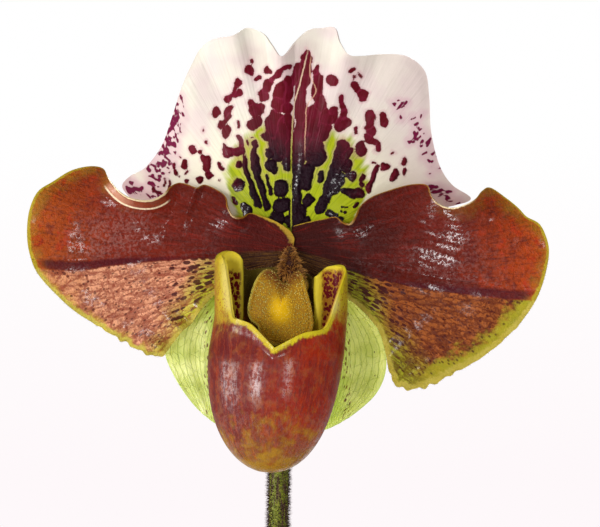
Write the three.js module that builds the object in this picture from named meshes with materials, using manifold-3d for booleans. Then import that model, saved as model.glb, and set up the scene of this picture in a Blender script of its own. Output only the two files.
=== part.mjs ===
// Potted slipper orchid: one large flower on a hairy scape, a fan of leaves and a young
// growth, in bark, in a plain clay pot. Millimetres, +Z up. The flower looks towards -Y, and
// the origin is at the middle of the pot's foot.
import * as THREE from "three";
import { mergeVertices } from "three/addons/utils/BufferGeometryUtils.js";
import Module from "manifold-3d";

const wasm = await Module();
wasm.setup();

// Driving dimensions
const GAP = 0.3; // clearance between pieces that touch

const POT_HEIGHT = 105;
const POT_TOP_RADIUS = 60;
const POT_FOOT_RADIUS = 40;
const POT_WALL = 5;
const POT_FLOOR = 7;
const RIM_BAND_HEIGHT = 22;
const RIM_BAND_STEP = 3; // how far the rim band stands proud of the wall
const DRAIN_RADIUS = 7;

const BARK_TOP = 88;
const BARK_CHIPS = 40;
const CROWN_TOP = 91.5;
const CROWN_RADIUS = 15;
const YOUNG_CROWN = new THREE.Vector3(19, -32, CROWN_TOP);
const YOUNG_CROWN_RADIUS = 8;
const ROOT_RADIUS = 2.2;

const FAN_TURN = THREE.MathUtils.degToRad(10); // the leaf fan's turn about the plant's axis
const LEAF_THICKNESS = 0.9;
const LEAF_HALF_WIDTH = 19;
const SHEATH_RADIUS = 3.4; // of the innermost leaf, at the crown
const SHEATH_STEP = 2.0;

const SCAPE_RADIUS = 2.4;
const SCAPE_TOP = 308;
const FLOWER = new THREE.Vector3(2, -29, 350); // where the column meets the petals
const TEPAL_THICKNESS = 0.9;
const OVARY_RADIUS = 3.6;

// Depths forward of the flower's centre at which each whorl starts
const OVARY_TIP = -2.5;
const SEPAL_FOOT = -1.6;
const RIGHT_PETAL_FOOT = 0;
const LEFT_PETAL_FOOT = 1.3;
const COLUMN_FOOT = 2.2;

// How far the petals' midveins fall for each millimetre outwards
const LEFT_VEIN_DROP = 0.03;
const RIGHT_VEIN_DROP = 0.16;

// Pouch: half width and half depth at its widest, and where its body and its toe are
const POUCH_HALF_WIDTH = 15.5;
const POUCH_HALF_DEPTH = 11.4;
const POUCH_SHOULDER = -17;
const POUCH_TOE = -53.6;
const POUCH_WALL = 0.9;

const STAMINODE_DEPTH = 13.4;
const STAMINODE_THICKNESS = 1.4;

// Small helpers
const { lerp, clamp, smoothstep, degToRad } = THREE.MathUtils;

// A place in the flower: right, up and forward of its centre, as seen from the front
function inFlower(right, up, forward) {
  return new THREE.Vector3(FLOWER.x + right, FLOWER.y - forward, FLOWER.z + up);
}

// A smooth line through hand-set points, read by the share of its length
function smoothLine(points, closed = false) {
  const corners = points.map(([x, y, z = 0]) => new THREE.Vector3(x, y, z));
  const curve = new THREE.CatmullRomCurve3(corners, closed, "centripetal");
  curve.arcLengthDivisions = 600;
  return (share) => curve.getPointAt(clamp(share, 0, 1));
}

// A value that runs smoothly through [place, value] pairs
function profile(pairs) {
  return (place) => {
    let i = 1;
    while (i < pairs.length - 1 && place > pairs[i][0]) i += 1;
    const [from, a] = pairs[i - 1];
    const [to, b] = pairs[i];
    return lerp(a, b, smoothstep(place, from, to));
  };
}

// Rows of numbers, read smoothly by the share of the way down them
function smoothRows(rows) {
  const row = (n) => rows[clamp(n, 0, rows.length - 1)];
  return (share) => {
    const spot = clamp(share, 0, 1) * (rows.length - 1);
    const k = Math.min(Math.floor(spot), rows.length - 2);
    const t = spot - k;
    return rows[k].map((b, column) => {
      const a = row(k - 1)[column];
      const c = row(k + 1)[column];
      const d = row(k + 2)[column];
      const bend = 2 * a - 5 * b + 4 * c - d + t * (3 * (b - c) + d - a);
      return b + 0.5 * t * (c - a + t * bend);
    });
  };
}

function normalAt(surface, u, v, ring) {
  const step = 1e-3;
  const u0 = ring ? u - step : Math.max(u - step, 0);
  const u1 = ring ? u + step : Math.min(u + step, 1);
  const v0 = Math.max(v - step, 0);
  const v1 = Math.min(v + step, 1);
  const alongU = surface(u1, v).sub(surface(u0, v));
  const alongV = surface(u, v1).sub(surface(u, v0));
  return alongU.cross(alongV).normalize();
}

function poleNormal(surface) {
  const sum = new THREE.Vector3();
  for (let k = 0; k < 8; k += 1) sum.add(normalAt(surface, k / 8, 0.04, true));
  return sum.normalize();
}

// A thin solid round a surface: two faces with the same triangles, and a rim between them.
// A ring surface closes on itself in u and comes to a point at v = 0.
function sheetGeometry(surface, nu, nv, thickness, ring = false) {
  const columns = ring ? nu : nu + 1;
  const faceSize = columns * (nv + 1);
  const position = [];
  const index = [];
  const pole = ring ? poleNormal(surface) : null;
  for (const side of [0.5, -0.5]) {
    for (let j = 0; j <= nv; j += 1) {
      for (let i = 0; i < columns; i += 1) {
        const u = i / nu;
        const v = j / nv;
        const normal = ring && j === 0 ? pole : normalAt(surface, u, v, ring);
        const point = surface(u, v).addScaledVector(normal, side * thickness(u, v));
        position.push(point.x, point.y, point.z);
      }
    }
  }
  const at = (face, i, j) => {
    const column = ring ? i % nu : i;
    return face * faceSize + (ring && j === 0 ? 0 : j * columns + column);
  };
  const triangle = (a, b, c) => {
    if (a !== b && b !== c && c !== a) index.push(a, b, c);
  };
  for (let j = 0; j < nv; j += 1) {
    for (let i = 0; i < nu; i += 1) {
      triangle(at(0, i, j), at(0, i + 1, j), at(0, i + 1, j + 1));
      triangle(at(0, i, j), at(0, i + 1, j + 1), at(0, i, j + 1));
      triangle(at(1, i + 1, j), at(1, i, j), at(1, i + 1, j + 1));
      triangle(at(1, i + 1, j + 1), at(1, i, j), at(1, i, j + 1));
    }
  }
  const rim = [];
  for (let i = nu; i >= 0; i -= 1) rim.push([i, nv]);
  if (!ring) {
    for (let j = nv - 1; j >= 0; j -= 1) rim.push([0, j]);
    for (let i = 1; i <= nu; i += 1) rim.push([i, 0]);
    for (let j = 1; j <= nv; j += 1) rim.push([nu, j]);
  }
  for (let k = 1; k < rim.length; k += 1) {
    const a = rim[k - 1];
    const b = rim[k];
    triangle(at(0, ...b), at(0, ...a), at(1, ...a));
    triangle(at(0, ...b), at(1, ...a), at(1, ...b));
  }
  const geometry = new THREE.BufferGeometry();
  geometry.setAttribute("position", new THREE.Float32BufferAttribute(position, 3));
  geometry.setIndex(index);
  return geometry;
}

// A closed solid through rings of points that turn the same way round, with flat ends
function loftGeometry(rings) {
  const sides = rings[0].length;
  const position = [];
  const index = [];
  rings.flat().forEach((point) => position.push(point.x, point.y, point.z));
  const lastRing = (rings.length - 1) * sides;
  for (let k = 0; k < rings.length - 1; k += 1) {
    for (let i = 0; i < sides; i += 1) {
      const a = k * sides + i;
      const b = k * sides + ((i + 1) % sides);
      index.push(a, b, b + sides, a, b + sides, a + sides);
    }
  }
  for (let i = 1; i < sides - 1; i += 1) {
    index.push(0, i + 1, i);
    index.push(lastRing, lastRing + i, lastRing + i + 1);
  }
  const geometry = new THREE.BufferGeometry();
  geometry.setAttribute("position", new THREE.Float32BufferAttribute(position, 3));
  geometry.setIndex(index);
  return geometry;
}

// Rings along a line, each a round or ribbed section square to the line
function stemRings(points, steps, sides, radius) {
  const curve = new THREE.CatmullRomCurve3(points);
  const frames = curve.computeFrenetFrames(steps);
  const rings = [];
  for (let k = 0; k <= steps; k += 1) {
    const centre = curve.getPointAt(k / steps);
    const ring = [];
    for (let i = 0; i < sides; i += 1) {
      const angle = (2 * Math.PI * i) / sides;
      const reach = radius(k / steps, angle, i);
      const point = centre.clone();
      point.addScaledVector(frames.normals[k], reach * Math.cos(angle));
      point.addScaledVector(frames.binormals[k], reach * Math.sin(angle));
      ring.push(point);
    }
    rings.push(ring);
  }
  return rings;
}

function tubeGeometry(points, radius, sides, steps) {
  const section = new THREE.Shape();
  section.absarc(0, 0, radius, 0, 2 * Math.PI);
  return new THREE.ExtrudeGeometry(section, {
    curveSegments: sides / 2,
    steps,
    bevelEnabled: false,
    extrudePath: new THREE.CatmullRomCurve3(points),
  });
}

function toSolid(geometry) {
  const bare = geometry.clone();
  bare.deleteAttribute("normal");
  bare.deleteAttribute("uv");
  const merged = mergeVertices(bare, 1e-4);
  const vertProperties = new Float32Array(merged.attributes.position.array);
  const triVerts = new Uint32Array(merged.index.array);
  return new wasm.Manifold(new wasm.Mesh({ numProp: 3, vertProperties, triVerts }));
}

function toGeometry(solid) {
  const mesh = solid.getMesh();
  const geometry = new THREE.BufferGeometry();
  geometry.setAttribute("position", new THREE.Float32BufferAttribute(mesh.vertProperties, 3));
  geometry.setIndex([...mesh.triVerts]);
  return geometry;
}

// Cutting can leave loose scraps: only the largest body is kept
function largestBody(solid) {
  const bodies = solid.decompose();
  return bodies.reduce((best, body) => (body.volume() > best.volume() ? body : best));
}

// Same draw of numbers on each run
function seededRandom(seed) {
  let state = seed;
  return () => {
    state = (state * 1664525 + 1013904223) % 4294967296;
    return state / 4294967296;
  };
}

const plant = new THREE.Group();

function addPiece(name, geometry, colour, roughness) {
  const finish = new THREE.MeshStandardMaterial({ color: colour, roughness, metalness: 0 });
  const mesh = new THREE.Mesh(geometry, finish);
  mesh.name = name;
  plant.add(mesh);
}

// Pot: one turned clay body with a rim band, a foot and a drain hole
function potGeometry() {
  const bandFoot = POT_HEIGHT - RIM_BAND_HEIGHT;
  const wallTop = POT_TOP_RADIUS - RIM_BAND_STEP;
  const outline = [
    [DRAIN_RADIUS, 2], [DRAIN_RADIUS + 8, 1.5], [POT_FOOT_RADIUS - 8, 1.5],
    [POT_FOOT_RADIUS - 7, 0], [POT_FOOT_RADIUS - 1.5, 0], [POT_FOOT_RADIUS, 1.5],
    [wallTop - 2, bandFoot - 1], [wallTop + 0.5, bandFoot],
    [POT_TOP_RADIUS - 1.2, bandFoot + 1], [POT_TOP_RADIUS, POT_HEIGHT - 2],
    [POT_TOP_RADIUS - 1.5, POT_HEIGHT], [POT_TOP_RADIUS - POT_WALL, POT_HEIGHT],
    [POT_TOP_RADIUS - POT_WALL - 1.2, POT_HEIGHT - 2],
    [POT_FOOT_RADIUS - POT_WALL, POT_FLOOR], [DRAIN_RADIUS, POT_FLOOR],
    [DRAIN_RADIUS, 2],
  ];
  const lathe = new THREE.LatheGeometry(outline.map(([r, z]) => new THREE.Vector2(r, z)), 40);
  return lathe.rotateX(Math.PI / 2);
}

// The room inside the pot, up to a height, less a clearance
function potRoom(top, clearance) {
  const floorRadius = POT_FOOT_RADIUS - POT_WALL - clearance;
  const topRadius = POT_TOP_RADIUS - POT_WALL - 1.2 - clearance;
  const share = (top - POT_FLOOR) / (POT_HEIGHT - 2 - POT_FLOOR);
  const outline = [
    [0, POT_FLOOR + clearance], [floorRadius, POT_FLOOR + clearance],
    [lerp(floorRadius, topRadius, share), top], [0, top],
  ];
  const lathe = new THREE.LatheGeometry(outline.map(([r, z]) => new THREE.Vector2(r, z)), 40);
  return toSolid(lathe.rotateX(Math.PI / 2));
}

// Crown: the plant's short stem and that of the young growth, the rhizome between them, and
// roots that run over the bark and dip into it. It is made larger by a clearance for its hole.
function crownSolid(clearance) {
  const stub = (centre, radius, foot) => {
    const outline = [
      [0, foot - clearance], [radius * 0.6 + clearance, foot - clearance],
      [radius + clearance, centre.z - 6], [radius + clearance, centre.z], [0, centre.z],
    ];
    const points = outline.map(([r, z]) => new THREE.Vector2(r, z));
    const lathe = new THREE.LatheGeometry(points, 20).rotateX(Math.PI / 2);
    return toSolid(lathe.translate(centre.x, centre.y, 0));
  };
  const middle = new THREE.Vector3(0, 0, CROWN_TOP);
  let solid = stub(middle, CROWN_RADIUS, 66);
  solid = solid.add(stub(YOUNG_CROWN, YOUNG_CROWN_RADIUS, 76));
  const link = [[4, -7, 82], [12, -20, 83], [19, -32, 82]];
  const reach = 6;
  const tube = (points, radius, sides, steps) => {
    const path = points.map(([x, y, z]) => new THREE.Vector3(x, y, z));
    return toSolid(tubeGeometry(path, radius + clearance, sides, steps));
  };
  solid = solid.add(tube(link, reach, 10, 3));
  for (const [degrees, length] of [[35, 30], [105, 33], [165, 27], [232, 31]]) {
    const angle = degToRad(degrees);
    const path = [[9, 84], [17, 87.5], [length - 5, 89], [length + 3, 84], [length + 6, 72 - clearance]];
    const points = path.map(([r, z]) => [r * Math.cos(angle), r * Math.sin(angle), z]);
    solid = solid.add(tube(points, ROOT_RADIUS, 8, 8));
  }
  return solid;
}

// Potting bark: the filling of the pot, with loose chips set into its top at random angles
function barkSolid() {
  const random = seededRandom(41);
  let filling = potRoom(BARK_TOP - 2, GAP);
  const chips = [];
  for (let k = 0; k < BARK_CHIPS; k += 1) {
    const distance = 49 * Math.sqrt((k + 0.5) / BARK_CHIPS);
    const angle = k * 2.39996 + random() * 0.5;
    const size = [8 + 8 * random(), 6 + 5 * random(), 3 + 2.5 * random()];
    const chip = new THREE.BoxGeometry(...size);
    const corners = mergeVertices(chip.deleteAttribute("normal").deleteAttribute("uv"), 1e-4);
    const spots = corners.attributes.position;
    for (let i = 0; i < spots.count; i += 1) {
      const shrink = 0.72 + 0.28 * random();
      spots.setXY(i, spots.getX(i) * shrink, spots.getY(i) * (0.8 + 0.2 * random()));
    }
    const tilt = new THREE.Euler(0.9 * (random() - 0.5), 0.9 * (random() - 0.5), 6.28 * random());
    corners.applyMatrix4(new THREE.Matrix4().makeRotationFromEuler(tilt));
    const height = BARK_TOP - 2.2 + 2.4 * random();
    corners.translate(distance * Math.cos(angle), distance * Math.sin(angle), height);
    chips.push(toSolid(corners));
  }
  filling = wasm.Manifold.union([filling, ...chips]);
  filling = filling.intersect(potRoom(BARK_TOP + 12, GAP));
  const wells = [[new THREE.Vector3(), CROWN_RADIUS], [YOUNG_CROWN, YOUNG_CROWN_RADIUS]];
  filling = filling.subtract(crownSolid(GAP));
  for (const [centre, radius] of wells) {
    const well = new THREE.CylinderGeometry(radius + 1.5, radius + 1.5, 20, 20);
    well.rotateX(Math.PI / 2).translate(centre.x, centre.y, CROWN_TOP + 4);
    filling = filling.subtract(toSolid(well));
  }
  return largestBody(filling);
}

// Leaf: a sheath that clasps the growth's axis, then a keeled blade that arches outwards
function leafSurface({ centre, turn, side, sheath, peel, length, halfWidth, lean }) {
  const opening = 0.22 * length;
  const steps = 60;
  const line = [];
  let out = sheath;
  let up = 0;
  const bend = (run) => lean * smoothstep(run, peel, length * 1.25);
  for (let k = 0; k <= steps; k += 1) {
    line.push({ out, up, bend: bend((k * length) / steps) });
    const angle = bend(((k + 0.5) * length) / steps);
    out += (Math.sin(angle) * length) / steps;
    up += (Math.cos(angle) * length) / steps;
  }
  const wrap = Math.min(1.7, halfWidth / sheath);
  const along = new THREE.Vector3(Math.cos(turn) * side, Math.sin(turn) * side, 0);
  const across = new THREE.Vector3(-Math.sin(turn) * side, Math.cos(turn) * side, 0);
  return (u, v) => {
    const spot = Math.min(v * steps, steps - 1e-6);
    const k = Math.floor(spot);
    const mix = (key) => lerp(line[k][key], line[k + 1][key], spot - k);
    const run = v * length;
    const opened = smoothstep(run, peel - 10, peel + 0.7 * opening);
    const curl = lerp(wrap, 0.42, opened);
    const blade = lerp(sheath * wrap, halfWidth, smoothstep(run, peel + 0.3 * opening, length * 0.55));
    const tip = clamp((v - 0.55) / 0.45, 0, 1);
    const half = Math.max(blade * Math.sqrt(1 - tip ** 2.6), 1.4);
    const radius = half / curl;
    const place = 2 * u - 1;
    const sideways = radius * Math.sin(curl * place);
    const keel = 1.6 * opened * Math.abs(place) * (half / halfWidth);
    const lift = radius * (1 - Math.cos(curl * place)) + keel;
    const angle = mix("bend");
    const point = centre.clone();
    point.addScaledVector(along, mix("out") - lift * Math.cos(angle));
    point.addScaledVector(across, sideways);
    point.z += mix("up") + lift * Math.sin(angle);
    return point;
  };
}

// Scape, ovary and bract
const scapeLine = [
  [0, 0, CROWN_TOP + GAP], [-0.6, 0, 120], [-1.6, 0.6, 165], [-1, 1.6, 235], [0, 0.5, SCAPE_TOP],
];
const ovaryLine = [
  [0, 0.5, SCAPE_TOP + GAP], [0.1, 0, 318], [0.9, -5.5, 333], [1.6, -13, 344],
  [2, -20, 349.6], [2, FLOWER.y - OVARY_TIP, 349.8],
];

function toPoints(rows) {
  return rows.map(([x, y, z]) => new THREE.Vector3(x, y, z));
}

function ovaryGeometry() {
  const swell = profile([[0, 2.6], [0.25, OVARY_RADIUS], [0.75, OVARY_RADIUS], [1, 4.6]]);
  const rib = (share, angle, i) => swell(share) * (i % 2 ? 0.9 : 1.06);
  return loftGeometry(stemRings(toPoints(ovaryLine), 12, 12, rib));
}

function bractSurface() {
  const foot = new THREE.Vector3(0, 0.4, SCAPE_TOP - 6);
  const length = 32;
  return (u, v) => {
    const curl = lerp(1.9, 0.7, smoothstep(v, 0.1, 1));
    const radius = lerp(3.5, 5.2, v) + 2.6 * v * v;
    const tip = clamp((v - 0.3) / 0.7, 0, 1);
    const place = (2 * u - 1) * curl * Math.max(Math.sqrt(1 - tip ** 1.6), 0.12);
    const forward = radius * Math.cos(place) + 5 * v * v;
    const right = radius * Math.sin(place);
    return new THREE.Vector3(foot.x - right, foot.y - forward, foot.z + v * length);
  };
}

// Dorsal sepal: a fan of straight rays from a short base line to the margin. A margin point
// holds right, up and how far the margin waves forward there.
function fanSurface({ base, margin, depth, waveReach }) {
  const edge = smoothLine(margin);
  return (u, v) => {
    const end = edge(u);
    const reach = 1 - (1 - v) ** 1.25;
    const right = lerp(lerp(base[0][0], base[1][0], u), end.x, reach);
    const up = lerp(lerp(base[0][1], base[1][1], u), end.y, reach);
    return inFlower(right, up, depth(right, up) + end.z * reach ** waveReach);
  };
}

// A line of points, read by the share of its length
function readLine(points) {
  const runs = [0];
  points.slice(1).forEach((point, k) => runs.push(runs[k] + point.distanceTo(points[k])));
  return (share) => {
    const run = share * runs.at(-1);
    let k = 1;
    while (k < points.length - 1 && run > runs[k]) k += 1;
    return points[k - 1].clone().lerp(points[k], (run - runs[k - 1]) / (runs[k] - runs[k - 1]));
  };
}

// Moves the grid's inner points until its lines run smoothly and none of them cross
function relaxGrid(grid, rounds) {
  for (let round = 0; round < rounds; round += 1) {
    for (let i = 1; i < grid.length - 1; i += 1) {
      for (let j = 1; j < grid[i].length - 1; j += 1) {
        const [before, here, after] = [grid[i - 1], grid[i], grid[i + 1]];
        const across = after[j].clone().sub(before[j]).multiplyScalar(0.5);
        const along = here[j + 1].clone().sub(here[j - 1]).multiplyScalar(0.5);
        const twist = after[j + 1].clone().sub(after[j - 1]).sub(before[j + 1]);
        twist.add(before[j - 1]).multiplyScalar(0.25);
        const point = after[j].clone().add(before[j]).multiplyScalar(along.lengthSq());
        point.addScaledVector(here[j + 1].clone().add(here[j - 1]), across.lengthSq());
        point.addScaledVector(twist, -2 * across.dot(along));
        here[j] = point.divideScalar(2 * (across.lengthSq() + along.lengthSq()));
      }
    }
  }
}

// Petals and synsepal: a grid stretched from a short foot line to a margin that turns back on
// itself. Two of the margin's points are its far corners: u runs across the piece from the low
// one's side to the high one's, and v along it.
function stretchedSurface({ foot, margin, corners, depth, across, along }) {
  const edge = smoothLine(margin);
  const samples = Array.from({ length: 601 }, (_, k) => edge(k / 600));
  const gap = (place, [x, y]) => Math.hypot(place.x - x, place.y - y);
  const [low, high] = corners.map((corner) => samples.reduce(
    (best, place, k) => (gap(place, corner) < gap(samples[best], corner) ? k : best), 0,
  ));
  const [lowFoot, highFoot] = foot.map(([x, y]) => new THREE.Vector3(x, y, 0));
  const lowSide = readLine([lowFoot, ...samples.slice(0, low + 1)]);
  const highSide = readLine([highFoot, ...samples.slice(high).reverse()]);
  const farSide = readLine(samples.slice(low, high + 1));
  const grid = [];
  for (let i = 0; i <= across; i += 1) {
    const u = i / across;
    grid.push([]);
    for (let j = 0; j <= along; j += 1) {
      const v = j / along;
      const start = lowFoot.clone().lerp(highFoot, u);
      const sides = lowSide(v).lerp(highSide(v), u).add(start.lerp(farSide(u), v));
      const ends = lowSide(1).lerp(highSide(1), u);
      const corner = lowFoot.clone().lerp(highFoot, u).lerp(ends, v);
      grid[i].push(new THREE.Vector2(sides.x - corner.x, sides.y - corner.y));
    }
  }
  relaxGrid(grid, 300);
  return (u, v) => {
    const i = Math.min(Math.floor(u * across), across - 1);
    const j = Math.min(Math.floor(v * along), along - 1);
    const near = grid[i][j].clone().lerp(grid[i][j + 1], v * along - j);
    const far = grid[i + 1][j].clone().lerp(grid[i + 1][j + 1], v * along - j);
    const { x: right, y: up } = near.lerp(far, u * across - i);
    const sideWave = lowSide(v).z * (1 - u) ** 5 + highSide(v).z * u ** 5;
    const farWave = farSide(u).z * v ** 8 * (1 - u ** 5 - (1 - u) ** 5);
    return inFlower(right, up, depth(right, up) + sideWave + farWave);
  };
}

const dorsalMargin = [
  [-8, 1.2, 0], [-16, 3.4, 0], [-24, 5.6, 0], [-30.7, 8.0, 0], [-36, 11.0, 0], [-38.7, 12.8, 0],
  [-36.8, 15.0, 0], [-33.6, 16.6, 0.5], [-31, 19.4, 0], [-29, 22.6, -0.5], [-26.8, 28.6, 0],
  [-24.4, 35.8, 0.4], [-22.2, 40.7, 0], [-20.1, 44.4, -0.6], [-17.2, 46.4, 0.4],
  [-12.6, 47.2, 1.2], [-9.4, 49.0, -0.6], [-5.6, 47.6, 0.4], [-3.6, 45.0, 1.8],
  [-1.4, 42.3, 2.4], [2.1, 46.2, 0.6], [5, 48.6, -0.4], [8, 49.0, -0.8], [10.8, 49.1, -0.2],
  [12.2, 45.4, 1.4], [14.2, 42.7, 1.8], [17.4, 42.5, 0.8], [21.5, 43.0, -0.4],
  [27.7, 42.5, 0.4], [31.7, 39.3, 0], [32.8, 33.5, -0.4], [33.3, 25.4, 0.4], [34.8, 19, 0],
  [36.3, 15.6, 0.4], [38.6, 12.8, 0], [42.9, 9.8, 0], [36.5, 7.6, 0], [27, 5.4, 0],
  [18, 3.2, 0], [10, 1.0, 0],
];

function dorsalDepth(right, up) {
  const reflex = 0.0082 * right * right * (1 - 0.68 * clamp(up / 45, 0, 1));
  const crease = 0.9 * Math.exp(-Math.abs(right - 1.5) / 2.2) * smoothstep(up, 2, 20);
  return SEPAL_FOOT - reflex - crease + 0.0013 * up * up;
}

const synsepalMargin = [
  [9, -5.4, 0], [14, -12.6, 0], [19.3, -18.4, 0.4], [21.9, -22.4, 0], [22.9, -27, 0.5],
  [22.5, -31.6, -0.3], [20.8, -35.3, 0.4], [17.9, -38.4, -0.2], [14.2, -41.3, 0.3],
  [9.7, -43.8, 0], [4, -45.4, 0], [-3, -46.2, 0], [-10, -45.4, 0], [-16.3, -43, 0.2],
  [-20.8, -39.5, -0.2], [-24, -35.5, 0.3], [-26.7, -31, -0.2], [-28.3, -27, 0.3],
  [-28.4, -22, 0], [-25, -15.6, 0], [-18, -10, 0], [-10, -5, 0],
];

function synsepalDepth(right, up) {
  return SEPAL_FOOT + 0.25 + 0.17 * Math.min(up + 5.5, 0) + 0.0022 * (right + 2.5) ** 2;
}

const leftPetalMargin = [
  [1.6, 0.3, 0], [0.8, 1.8, 0.2], [-0.9, 3.2, 0.4], [-3.2, 4.5, 0.2], [-6, 5.5, 0],
  [-8.8, 6.2, 0.2], [-10.6, 5.2, 1.4], [-12.4, 5.4, 2.2], [-13.7, 7.4, 1.8], [-14.3, 10, 0.6],
  [-16.6, 11.7, -0.6], [-19.4, 12.8, -0.8], [-21, 12.1, 0.5], [-23, 12.8, 0],
  [-25.2, 13.2, -0.4], [-27, 12.2, 0.8], [-28.6, 9.6, 2.8], [-31, 7.5, 3.8], [-34, 7.2, 4.2],
  [-37, 8.1, 4.2], [-39, 9.8, 3.6], [-41, 13, 2.2], [-42.6, 16.4, 0], [-45, 17.0, -0.6],
  [-49.7, 16.1, -0.6], [-54.3, 13.3, 0], [-57.4, 11.2, 0.6], [-59.2, 7.5, 0.2],
  [-59.9, 2.8, -0.5], [-59.4, -2.6, 0.2], [-57.6, -7.4, 0.6], [-53.4, -12.4, -0.5],
  [-49.5, -16, 0.4], [-44.4, -19.4, -0.5], [-40.7, -21.7, 0.5], [-37.2, -23.8, -0.5],
  [-33.4, -25.9, 0.8], [-30.6, -26.8, -0.6], [-28.4, -26.4, 1], [-26.6, -23.8, -0.5],
  [-24.6, -21.4, 1], [-22.2, -19.2, -0.5], [-20.2, -16.4, 0.7], [-17.4, -13.2, 0],
  [-12, -9.8, 0], [-6, -7.8, 0],
];

const rightPetalMargin = [
  [1.4, 3.3, 0], [4.5, 4.1, 0], [8, 4.8, 0], [11.2, 5.3, 0.4], [12.8, 4.1, 1.4],
  [14.4, 3.7, 2], [15.6, 5.3, 1.5], [16.6, 7.6, 0.5], [19, 9.7, -0.5], [23.8, 11.6, -0.8],
  [29.1, 12.9, -0.8], [32.4, 12.6, 0.2], [33.2, 10.4, 1.4], [34.6, 8.5, 2.2], [37.4, 7.4, 2.6],
  [40.5, 8.0, 2.6], [43.2, 9.4, 1.8], [44.8, 11.2, 0.6], [46.6, 12.1, -0.5], [50.4, 9.7, 0],
  [53.4, 7.2, 0.6], [55.2, 5.3, 0], [58.0, 3.7, 0.4], [59.6, 0.6, 0], [60.2, -2.4, -0.4],
  [59.6, -6.6, 0], [57.8, -12.4, 0.5], [54.8, -17.6, -0.4], [51.3, -21.6, 0.5],
  [47.6, -25.0, -0.5], [43.5, -28, 0.4], [38.2, -30.9, -0.5], [33.3, -33.6, 0.7],
  [28.7, -34.6, -0.6], [25.4, -33.8, 0.7], [23.8, -31.2, -0.6], [23, -28, 0.7],
  [22.2, -24, -0.5], [20.4, -20, 0.6], [16, -15.2, 0], [9.6, -10.6, 0], [5, -8.4, 0],
];

// The petals are swept forward a little towards their ends and stand highest along their midvein
function petalVein(right, drop) {
  return -3 - drop * Math.abs(right);
}

function petalDepth(foot, drop) {
  return (right, up) => {
    const above = up - petalVein(right, drop);
    const lean = above > 0 ? 0.008 : 0.006;
    const crease = 0.7 * Math.exp(-Math.abs(above) / 1.8) * smoothstep(Math.abs(right), 6, 20);
    return foot + 5 * (Math.abs(right) / 60) ** 1.6 - lean * above * above - crease;
  };
}

// Pouch. Below the shoulder it is a rounded toe, and above it two ears curl inwards. Each row is
// a line up the pouch, from the front to the column: its angle round the toe, its place to the
// side and forward in the ears, and the rim's height on the left and on the right.
const pouchLines = smoothRows([
  [0, 0, 25.0, -25.9, -25.9],
  [12, 3.3, 24.6, -23.4, -23.8],
  [23, 6.2, 23.7, -20.8, -21.8],
  [33, 8.7, 22.5, -19.4, -21.0],
  [38, 9.8, 21.7, -13.5, -20.8],
  [45, 11.2, 20.4, -6.6, -19.6],
  [54, 12.8, 18.6, -3.4, -16.0],
  [66, 14.3, 16.2, -2.6, -11.4],
  [84, 15.4, 13.0, -2.5, -7.0],
  [102, 15.0, 9.8, -2.5, -5.8],
  [120, 13.2, 7.8, -2.9, -5.9],
  [132, 10.9, 7.4, -3.9, -6.6],
  [141, 8.6, 8.2, -5.4, -7.8],
  [148, 7.6, 6.6, -6.4, -8.4],
  [157, 6.8, 4.6, -6.6, -8.0],
  [168, 4.4, 3.1, -6.1, -6.7],
  [180, 0, 2.7, -5.7, -5.7],
]);
const LEFT_EAR_TOP = -2.5;
const RIGHT_EAR_TOP = -5.8;

function pouchSurface(u, v) {
  const leftSide = u > 0.5;
  const line = pouchLines(leftSide ? 2 * (1 - u) : 2 * u);
  const [degrees, earSide, earForward] = line;
  const rim = leftSide ? line[3] : line[4];
  const rise = lerp(1 - Math.cos((Math.PI / 2) * v), Math.sin((Math.PI / 2) * v ** 0.9), 0.35);
  const up = lerp(POUCH_TOE, rim, rise);
  const below = clamp((POUCH_SHOULDER - up) / (POUCH_SHOULDER - POUCH_TOE), 0, 1);
  const round = Math.sqrt(Math.max(1 - below ** 2.2, 0));
  const angle = degToRad(degrees);
  const toeSide = POUCH_HALF_WIDTH * round * Math.sin(angle);
  const toeForward = 13.7 + 3.9 * Math.sin((Math.PI / 2) * below)
    + POUCH_HALF_DEPTH * round * Math.cos(angle);
  const eared = smoothstep(up, -28, -17);
  const earTop = leftSide ? LEFT_EAR_TOP : RIGHT_EAR_TOP;
  const neck = 0.45 * Math.max(up - earTop + 2.6, 0) ** 2;
  const lip = 0.9 * smoothstep(v, 0.9, 1) * (1 - smoothstep(degrees, 30, 40));
  const side = lerp(toeSide, Math.max(earSide - neck, 0), eared);
  const lean = -2.1 - 1.7 * Math.sin(2.3 * below);
  return inFlower(lean + (leftSide ? -side : side), up, lerp(toeForward, earForward, eared) + lip);
}

// Staminode: a notched shield with a boss in its middle
const staminodeOutline = [
  [-1.4, -9.0], [-3, -7.2], [-4.9, -6.9], [-6.9, -9.1], [-8.5, -12.3], [-9.5, -16.2],
  [-8.2, -18.3], [-6.6, -19.8], [-6.2, -21.6], [-4.6, -23.0], [-2.6, -23.7], [0.4, -22.7],
  [4.0, -20.6], [6.4, -18.4], [5.9, -15.4], [4.9, -12.2], [3.5, -8.9], [1.9, -7.4], [0.3, -8.2],
];
const STAMINODE_BOSS = [-1.7, -16.2];

function staminodeSurface() {
  const edge = smoothLine([...staminodeOutline].reverse(), true);
  return (u, v) => {
    const end = edge(u % 1);
    const right = lerp(STAMINODE_BOSS[0], end.x, v);
    const up = lerp(STAMINODE_BOSS[1], end.y, v);
    const boss = 1.1 * Math.exp(-((v / 0.3) ** 2));
    const curve = 0.9 * v * v + 0.06 * (up - STAMINODE_BOSS[1]);
    return inFlower(right, up, STAMINODE_DEPTH + boss - curve);
  };
}

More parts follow.
